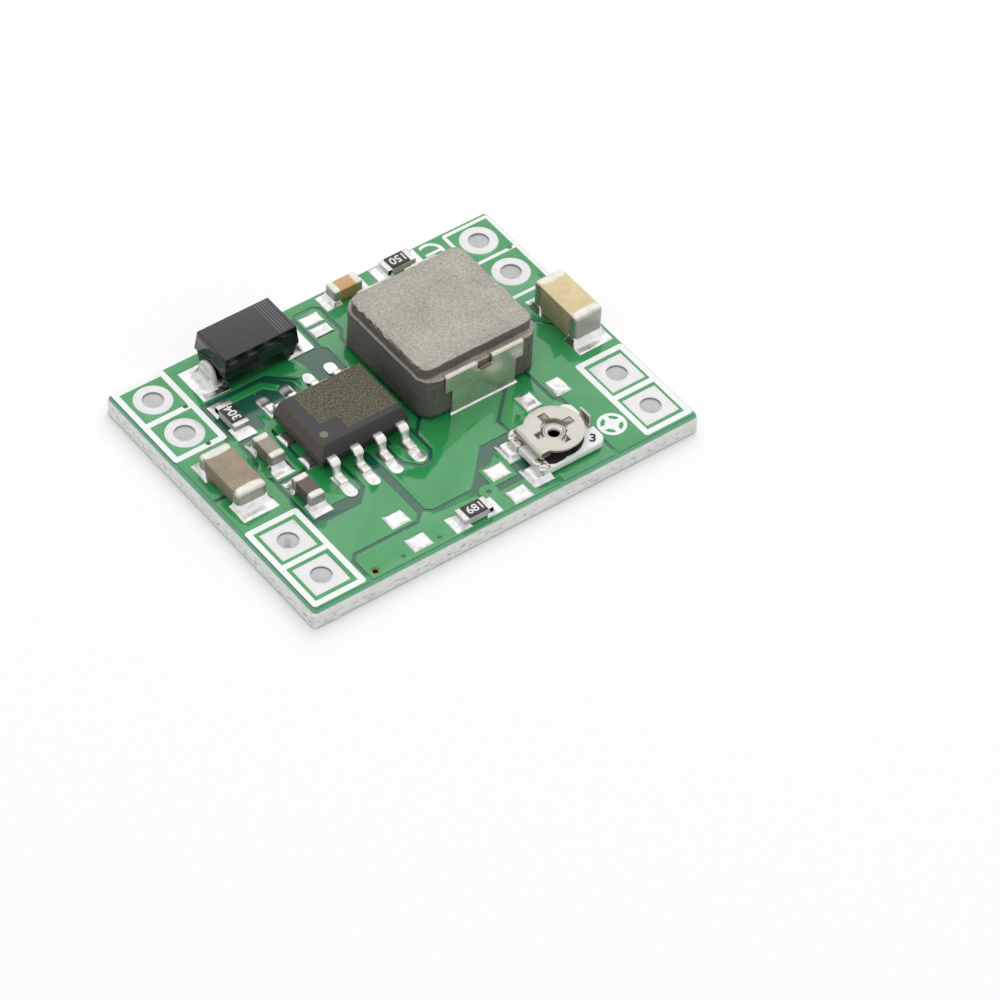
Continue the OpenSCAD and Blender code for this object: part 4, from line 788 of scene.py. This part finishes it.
class MODULE_OT_diode(bpy.types.Operator):
    """Rectifier diode: moulded body, cathode band and folded leads"""
    bl_idname = "module.diode"
    bl_label = "Diode"

    def execute(self, context):
        opts = context.scene.module_packages
        lo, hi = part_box("diode_body")
        mid = (lo + hi) / 2
        parting = BOARD_TOP + DIODE_PARTING * MM
        # Transfer-moulded epoxy: nearly black, satin, with painted shade on its sides, and a pale line where
        # the mould parts that is partly flash and partly a painted highlight on that edge.
        black = finish("transfer_moulded_epoxy", "28282c", "323236", 0.035, (0.13, 0.18), sides=0.25)
        tree, place = inside(black)
        height = add(tree, "SeparateXYZ", {"Vector": place}).node.outputs[Z]
        cover(black, add(tree, "Math", {0: height, 1: parting, 2: 0.016 * MM}, operation="COMPARE"), "56565a")
        bm = copy_of("diode_body")
        soften(bm, opts.rounding / MM, 3)
        # The lower half of the mould is a little narrower than the upper half.
        bmesh.ops.bisect_plane(bm, geom=bm.verts[:] + bm.edges[:] + bm.faces[:], dist=1e-5 * MM,
                               plane_co=(0, 0, parting - 0.015 * MM), plane_no=(0, 0, 1))
        for vert in bm.verts:
            if vert.co.z < parting - 0.01 * MM:
                for axis in (X, Y):
                    vert.co[axis] -= math.copysign(0.07 * MM, vert.co[axis] - mid[axis])
        piece(bm, "rounded_diode_body", black, ("diode_body",))
        # Laser-marked band: fine pale lines burnt into the top.
        pale = finish("laser_marked_epoxy", "6d6a66", "8f8b84", 0.03, (0.6, 0.8))
        bm = bmesh.new()
        for i in range(5):
            block(bm, (0.03 * MM, hi.y - lo.y - 0.34 * MM, 0.006 * MM),
                  (BAND_FROM * MM + i * BAND_PITCH * MM, mid.y, hi.z))
        piece(bm, "cathode_band", pale)
        # Tin-plated copper strip: pale and satin.
        tin = finish("tin_plated_folded_leads", "d3d0c9", "f2f0eb", 0.05, (0.34, 0.46), metallic=0.25,
                     bump=0.004)
        rounded("diode_cathode_lead", "rounded_cathode_lead", tin, 0.03)
        # The other lead is cut on a slant, and stands like a fin in its solder.
        lo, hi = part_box("diode_anode_lead")
        outline = [(0.02, 0.0), (0.04, 0.35), (0.1, 0.66), (0.22, 0.92), (0.42, 1.07), (0.68, 1.12),
                   (0.94, 1.08), (1.16, 0.93), (1.32, 0.62), (1.45, 0.0)]
        bm = bmesh.new()
        plate(bm, [(lo.x, lo.y + y * MM, lo.z + z * MM) for y, z in outline], (0.25 * MM, 0, 0))
        block(bm, (hi.x - lo.x - 0.1 * MM, hi.y - lo.y, 0.18 * MM),
              ((lo.x + hi.x) / 2 + 0.05 * MM, (lo.y + hi.y) / 2, lo.z + 0.1 * MM))
        soften(bm, 0.1, 5, angle=40)
        piece(bm, "fin_anode_lead", tin, ("diode_anode_lead",), crease=60)
        return {"FINISHED"}


class MODULE_OT_inductor(bpy.types.Operator):
    """Moulded inductor: pressed core, clips and the flattened wire ends"""
    bl_idname = "module.inductor"
    bl_label = "Inductor"

    def execute(self, context):
        opts = context.scene.module_packages
        # Iron powder pressed with resin: stone grey, granular, dull, with chipped edges and painted shade on
        # its sides.
        material, tree, shader, place = blank("pressed_iron_powder", roughness=0.62)
        grains = add(tree, "TexNoise", {
            "Vector": place, "Scale": per(0.11), "Detail": 5.0, "Roughness": 0.65})
        patches = add(tree, "TexNoise", {"Vector": place, "Scale": per(1.6), "Detail": 3.0})
        both = add(tree, "Mix", {0: 0.25, 2: grains, 3: patches})
        stone = add(tree, "ValToRGB", {"Fac": both}, ((0.3, "858174"), (0.5, opts.powder), (0.68, "ccc8bb")))
        toned = add(tree, "HueSaturation", {"Color": stone, "Value": painted_side_shade(tree, 0.3)})
        raised = add(tree, "Bump", {"Height": grains, "Distance": 0.012 * MM, "Strength": 0.9})
        wire(shader, {"Base Color": toned, "Normal": raised})
        lo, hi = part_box("inductor_core")
        ledge = BOARD_TOP + CORE_LEDGE * MM

        def in_border(wide, at):
            inner = Vector(wide) * MM
            return gap_to((lo + inner, hi - inner), at.x, at.y) > 0

        bm = copy_of("inductor_core")
        soften(bm, 0.16, 4, angle=50,
               where=lambda p: abs(p.z - ledge) < 0.05 * MM and in_border((0.5, 0.2, 0), p))
        soften(bm, 0.07, 3, angle=50, where=lambda p: p.z > hi.z - 0.05 * MM)
        for axis in (X, Y):
            slices(bm, axis, 0.16)
        slices(bm, Z, 0.2, lambda f: abs(f.normal.z) < 0.9)
        roughen(bm, 0.035, 0.22)
        # The upper edge is chipped deeper.
        roughen(bm, 0.09, 0.13, lambda p: p.z > hi.z - 0.14 * MM and in_border((0.2, 0.3, 0), p))
        piece(bm, "granular_core", material, ("inductor_core",), crease=60)
        # Tinned copper strip, folded over the core: bright on its bends.
        clip = finish("tinned_copper_clip", "cbc4b8", "e2dcd2", 0.12, (0.24, 0.34), metallic=0.8, bump=0.004)
        for node in ("inductor_front_terminal", "inductor_rear_terminal"):
            rounded(node, "folded_" + node, clip, 0.055, 4, crease=60)
        # Drawn copper wire, pressed flat at its end.
        dress("inductor_winding", finish("flattened_copper_wire", "7a6654", "a8927e", 0.06, (0.3, 0.45),
                                         metallic=0.8, bump=0.006))
        return {"FINISHED"}


class MODULE_OT_capacitors(bpy.types.Operator):
    """Ceramic capacitors: fired bodies and dipped, plated ends"""
    bl_idname = "module.capacitors"
    bl_label = "Capacitors"

    def execute(self, context):
        # Fired silver ends, nickel and tin plated: off-white, softly rounded, satin, with painted shade on
        # their sides.
        ends = finish("plated_dipped_ends", "cdcabe", "edebe3", 0.09, (0.3, 0.42), metallic=0.55, bump=0.008,
                      drift=5.0, sides=0.6)
        # Fired ceramic, tumbled: matt, faintly streaked, with painted shade on its sides that leaves the top
        # paler.
        for name, tones in CERAMIC_TONES.items():
            body_node, ends_node = name + "_capacitor_body", name + "_capacitor_ends"
            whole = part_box(ends_node)
            axis = X if whole[1].x - whole[0].x > whole[1].y - whole[0].y else Y
            boxes = sorted(islands(ends_node), key=lambda box: box[0][axis])
            radius, bulge = (0.18, 0.13) if whole[1][axis] - whole[0][axis] > 2 * MM else (0.1, 0.06)
            # The body stops inside its ends, clear of their round corners.
            reach = (boxes[0][1][axis] - radius * MM, boxes[1][0][axis] + radius * MM)
            bm = copy_of(body_node)
            for vert in bm.verts:
                vert.co[axis] = min(max(vert.co[axis], reach[0]), reach[1])
            soften(bm, 0.04, 3)
            body = finish("fired_ceramic_" + name, *tones, 0.05, (0.42, 0.6), bump=0.006, sides=0.72)
            piece(bm, "tumbled_" + body_node, body, (body_node,))
            bm = bmesh.new()
            for box, inward in zip(boxes, (1, -1)):
                chip_end(bm, box, axis, inward, radius, bulge)
            piece(bm, "dipped_" + ends_node, ends, (ends_node,), crease=60)
        return {"FINISHED"}


class MODULE_OT_resistors(bpy.types.Operator):
    """Chip resistors: alumina chips, glazed faces with plain figures, plated ends"""
    bl_idname = "module.resistors"
    bl_label = "Resistors"

    def execute(self, context):
        # Sintered alumina: pale grey, matt.
        alumina = finish("sintered_alumina_chip", "a8a8a2", "cfcfca", 0.04, (0.5, 0.7), bump=0.004)
        # Printed glass overcoat: smooth black, slightly domed.
        glaze = finish("fired_black_glass", "1d1d1f", "303033", 0.06, (0.28, 0.4), bump=0.003)
        # Plated ends, wrapped round the chip: bright, uneven metal.
        ends = finish("plated_wraparound_ends", "bfbdb8", "efeeea", 0.08, (0.26, 0.42), metallic=0.85,
                      bump=0.01)
        # Printed enamel: matt white.
        ink = finish("printed_white_figures", "d8d8d2", "f2f2ee", 0.04, (0.5, 0.6))
        for name, (figures, turn) in FIGURES.items():
            chip, element, band = (name + "_resistor_" + part for part in ("chip", "element", "ends"))
            dress(chip, alumina)
            rounded(element, "rounded_" + element, glaze, 0.015)
            rounded(band, "rounded_" + band, ends, 0.035)
            lo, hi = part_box(element)
            lettering(figures, 0.46, Vector(((lo.x + hi.x) / 2, (lo.y + hi.y) / 2, hi.z)), turn,
                      name + "_figures", ink)
        return {"FINISHED"}


class MODULE_OT_trimmer(bpy.types.Operator):
    """Trimmer: ceramic base, crimped ends, folded rotor and its eyelet"""
    bl_idname = "module.trimmer"
    bl_label = "Trimmer"

    def execute(self, context):
        # Pressed alumina: clean white, faintly translucent, satin.
        base = finish("pressed_white_alumina", "ebebe9", "f8f8f6", 0.06, (0.35, 0.5), bump=0.004)
        rounded("trimmer_base", "rounded_trimmer_base", base, 0.05, 3, crease=40)
        # Screened carbon track: dull black.
        track = finish("screened_carbon_track", "121212", "232323", 0.05, (0.5, 0.7), bump=0.003)
        dress("trimmer_track", track)
        lo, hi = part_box("trimmer_base")
        tail = [(2.88, -7.3), (3.15, -7.44), (3.62, -7.44), (4.0, -7.3), (3.6, -6.9), (3.1, -6.6),
                (2.88, -6.72)]
        bm = bmesh.new()
        plate(bm, [(x * MM, y * MM, hi.z) for x, y in tail], (0, 0, 0.016 * MM))
        piece(bm, "track_tail", track)
        # Nickel silver sheet, stamped and folded: warm pale metal, burnished on its bends.
        sheet = finish("stamped_nickel_silver", "c0bbb1", "cac5bc", 0.05, (0.28, 0.34), metallic=0.9,
                       bump=0.001, stretch=(1, 3, 1))
        rounded("trimmer_rotor", "burnished_rotor", sheet, 0.018, body="rotor")
        # The sheet's lower leaf, seen through the slot, and the collar pressed up round the eyelet.
        low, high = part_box("trimmer_eyelet")
        axis = ((low.x + high.x) / 2, (low.y + high.y) / 2, BOARD_TOP)
        bm = bmesh.new()
        turned(bm, [(0.5, 0.66), (1.2, 0.66), (1.24, 0.68), (1.2, LEAF_LEVEL), (0.5, LEAF_LEVEL)], axis)
        piece(bm, "lower_leaf", sheet, body="rotor", crease=50)
        bm = bmesh.new()
        turned(bm, [(0.44, LEAF_LEVEL), (0.44, 0.78), (0.47, 0.82), (0.52, 0.82), (0.6, 0.75),
                    (0.63, LEAF_LEVEL)], axis)
        piece(bm, "pressed_collar", sheet, body="rotor", crease=60)
        # Drawn brass, tinned: a bright funnel over a bore painted near black, a painted shade for the depth
        # of the hole that also darkens its closed floor.
        brass = finish("flared_brass_eyelet", "d6d0d2", "f6f3f3", 0.05, (0.16, 0.24), metallic=0.9)
        tree, place = inside(brass)
        deep = (axis[X], axis[Y], BOARD_TOP + 0.3 * MM)
        from_bore_shade = add(tree, "VectorMath", {0: place, 1: deep}, operation="DISTANCE")
        cover(brass, add(tree, "Math", {0: from_bore_shade, 1: 0.37 * MM}, operation="LESS_THAN"), "1a141c")
        bm = bmesh.new()
        turned(bm, [(0, 0.03), (0.3, 0.03), (0.3, 0.72), (0.4, 0.735), (0.43, 0.77), (0.41, 0.8),
                    (0.36, 0.79), (0.29, 0.68), (0.25, 0.58), (0.245, 0.12), (0, 0.12)], axis)
        piece(bm, "flared_eyelet", brass, ("trimmer_eyelet",), crease=60)
        rounded("trimmer_wiper_terminal", "bent_wiper_terminal", sheet, 0.018)
        # Tinned strip, crimped over the base and wetted by solder: bright and crumpled.
        crimp = finish("crimped_tinned_terminal", "c4c0ba", "f2efea", 0.1, (0.12, 0.22), metallic=1.0,
                       bump=0.002)
        for node in ("trimmer_rear_terminal", "trimmer_front_terminal"):
            bm = copy_of(node)
            soften(bm, 0.04, 3)
            for way in (X, Y, Z):
                slices(bm, way, 0.05)
            roughen(bm, 0.1, 0.2)
            piece(bm, "crimped_" + node, crimp, (node,), crease=80)
        # Stamped ink: matt black.
        ink = finish("stamped_black_ink", "101010", "262626", 0.04, (0.5, 0.6))
        lettering("3", 0.52, Vector((hi.x - 0.5 * MM, lo.y + 0.45 * MM, hi.z)), -39, "base_figure", ink,
                  weight=0.03)
        return {"FINISHED"}


class MODULE_OT_stage(bpy.types.Operator):
    """Stage: camera, soft lamps and a pale floor"""
    bl_idname = "module.stage"
    bl_label = "Stage"

    def execute(self, context):
        opts = context.scene.module_stage
        scene = context.scene
        scene.view_settings.view_transform = "Standard"
        self.camera(scene)
        self.lamps(scene, opts)
        self.floor(scene, opts)
        return {"FINISHED"}

    def camera(self, scene):
        target = Vector((0.0, -7.46, 1.0)) * MM
        distance = 254.58 * MM
        azimuth, height, roll = (math.radians(a) for a in (-39.04, 46.40, 3.15))
        away = Vector((math.sin(azimuth) * math.cos(height), -math.cos(azimuth) * math.cos(height),
                       math.sin(height)))
        lens = bpy.data.cameras.new("camera")
        lens.lens = 203.9
        lens.sensor_width = 36
        lens.clip_start = 0.01
        lens.clip_end = 20
        camera = bpy.data.objects.new("camera", lens)
        turn = (-away).to_track_quat("-Z", "Y").to_matrix() @ Matrix.Rotation(roll, 3, "Z")
        camera.matrix_world = Matrix.Translation(target + away * distance) @ turn.to_4x4()
        scene.collection.objects.link(camera)
        scene.camera = camera

    def lamps(self, scene, opts):
        for name, power, size, at in (("key", opts.key, 0.4, (0.2, 0.16, 0.43)),
                                      ("panel", opts.panel, 0.5, (0.21, 0.26, 0.36))):
            lamp = bpy.data.lights.new(name, "AREA")
            lamp.energy = power
            lamp.size = size
            holder = bpy.data.objects.new(name, lamp)
            holder.location = at
            holder.rotation_euler = (-holder.location).to_track_quat("-Z", "Y").to_euler()
            holder.visible_glossy = name == "panel"
            scene.collection.objects.link(holder)
        world = bpy.data.worlds.new("studio")
        scene.world = world
        world.use_nodes = True
        tree = world.node_tree
        tree.nodes.clear()
        way = add(tree, "TexCoord").node.outputs["Generated"]
        rise = add(tree, "SeparateXYZ", {"Vector": way}).node.outputs[Z]
        dome = add(tree, "MapRange", {"Value": rise, "To Min": opts.horizon, "To Max": opts.zenith})
        level = add(tree, "Mix", {0: background_rays(tree), 2: dome, 3: 1.0})
        sky = add(tree, "Background", {"Color": "ffffff", "Strength": level})
        add(tree, "OutputWorld", {"Surface": sky})

    def floor(self, scene, opts):
        # Matt white board, evenly lit: pure white to the eye except under the object.
        material = bpy.data.materials.new("matt_white_backdrop")
        material.use_nodes = True
        tree = material.node_tree
        tree.nodes.clear()
        place = add(tree, "TexCoord").node.outputs["Object"]
        grain = add(tree, "TexNoise", {"Vector": place, "Scale": per(0.4)})
        tone = add(tree, "Mix", {0: grain, 6: "ececec", 7: opts.floor}, data_type="RGBA")
        lift = add(tree, "Math", {0: background_rays(tree), 1: 0.12}, operation="MULTIPLY")
        glow = add(tree, "Emission", {"Color": "ffffff", "Strength": lift})
        both = add(tree, "AddShader", {0: add(tree, "BsdfDiffuse", {"Color": tone}), 1: glow})
        add(tree, "OutputMaterial", {"Surface": both})
        bm = bmesh.new()
        bmesh.ops.create_grid(bm, x_segments=4, y_segments=4, size=1.5)
        bmesh.ops.translate(bm, vec=(0, 0, -0.01 * MM), verts=bm.verts)
        mesh = bpy.data.meshes.new("floor")
        bm.to_mesh(mesh)
        bm.free()
        mesh.materials.append(material)
        sheet = bpy.data.objects.new("floor", mesh)
        scene.collection.objects.link(sheet)


# ---------------------------------------------------------------- panel and registration

OPERATORS = (MODULE_OT_stage, MODULE_OT_board, MODULE_OT_solder, MODULE_OT_controller, MODULE_OT_diode,
             MODULE_OT_inductor, MODULE_OT_capacitors, MODULE_OT_resistors, MODULE_OT_trimmer)
SETTINGS = {"module_board": BoardSettings, "module_solder": SolderSettings,
            "module_packages": PackageSettings, "module_stage": StageSettings}


class MODULE_PT_sidebar(bpy.types.Panel):
    """Lists the pieces and their settings"""
    bl_label = "Buck converter module"
    bl_idname = "MODULE_PT_sidebar"
    bl_space_type = "VIEW_3D"
    bl_region_type = "UI"
    bl_category = "Module"

    def draw(self, context):
        for operator in OPERATORS:
            self.layout.operator(operator.bl_idname)
        for attribute, group in SETTINGS.items():
            box = self.layout.box()
            for key in group.__annotations__:
                box.prop(getattr(context.scene, attribute), key)


def register():
    for made in (*SETTINGS.values(), *OPERATORS, MODULE_PT_sidebar):
        bpy.utils.register_class(made)
    for attribute, group in SETTINGS.items():
        setattr(bpy.types.Scene, attribute, PointerProperty(type=group))


def unregister():
    for attribute in SETTINGS:
        delattr(bpy.types.Scene, attribute)
    for made in reversed((*SETTINGS.values(), *OPERATORS, MODULE_PT_sidebar)):
        bpy.utils.unregister_class(made)


def main():
    """Registers the classes and builds every piece in order."""
    register()
    for operator in OPERATORS:
        group, name = operator.bl_idname.split(".")
        getattr(getattr(bpy.ops, group), name)()


if __name__ == "__main__":
    main()
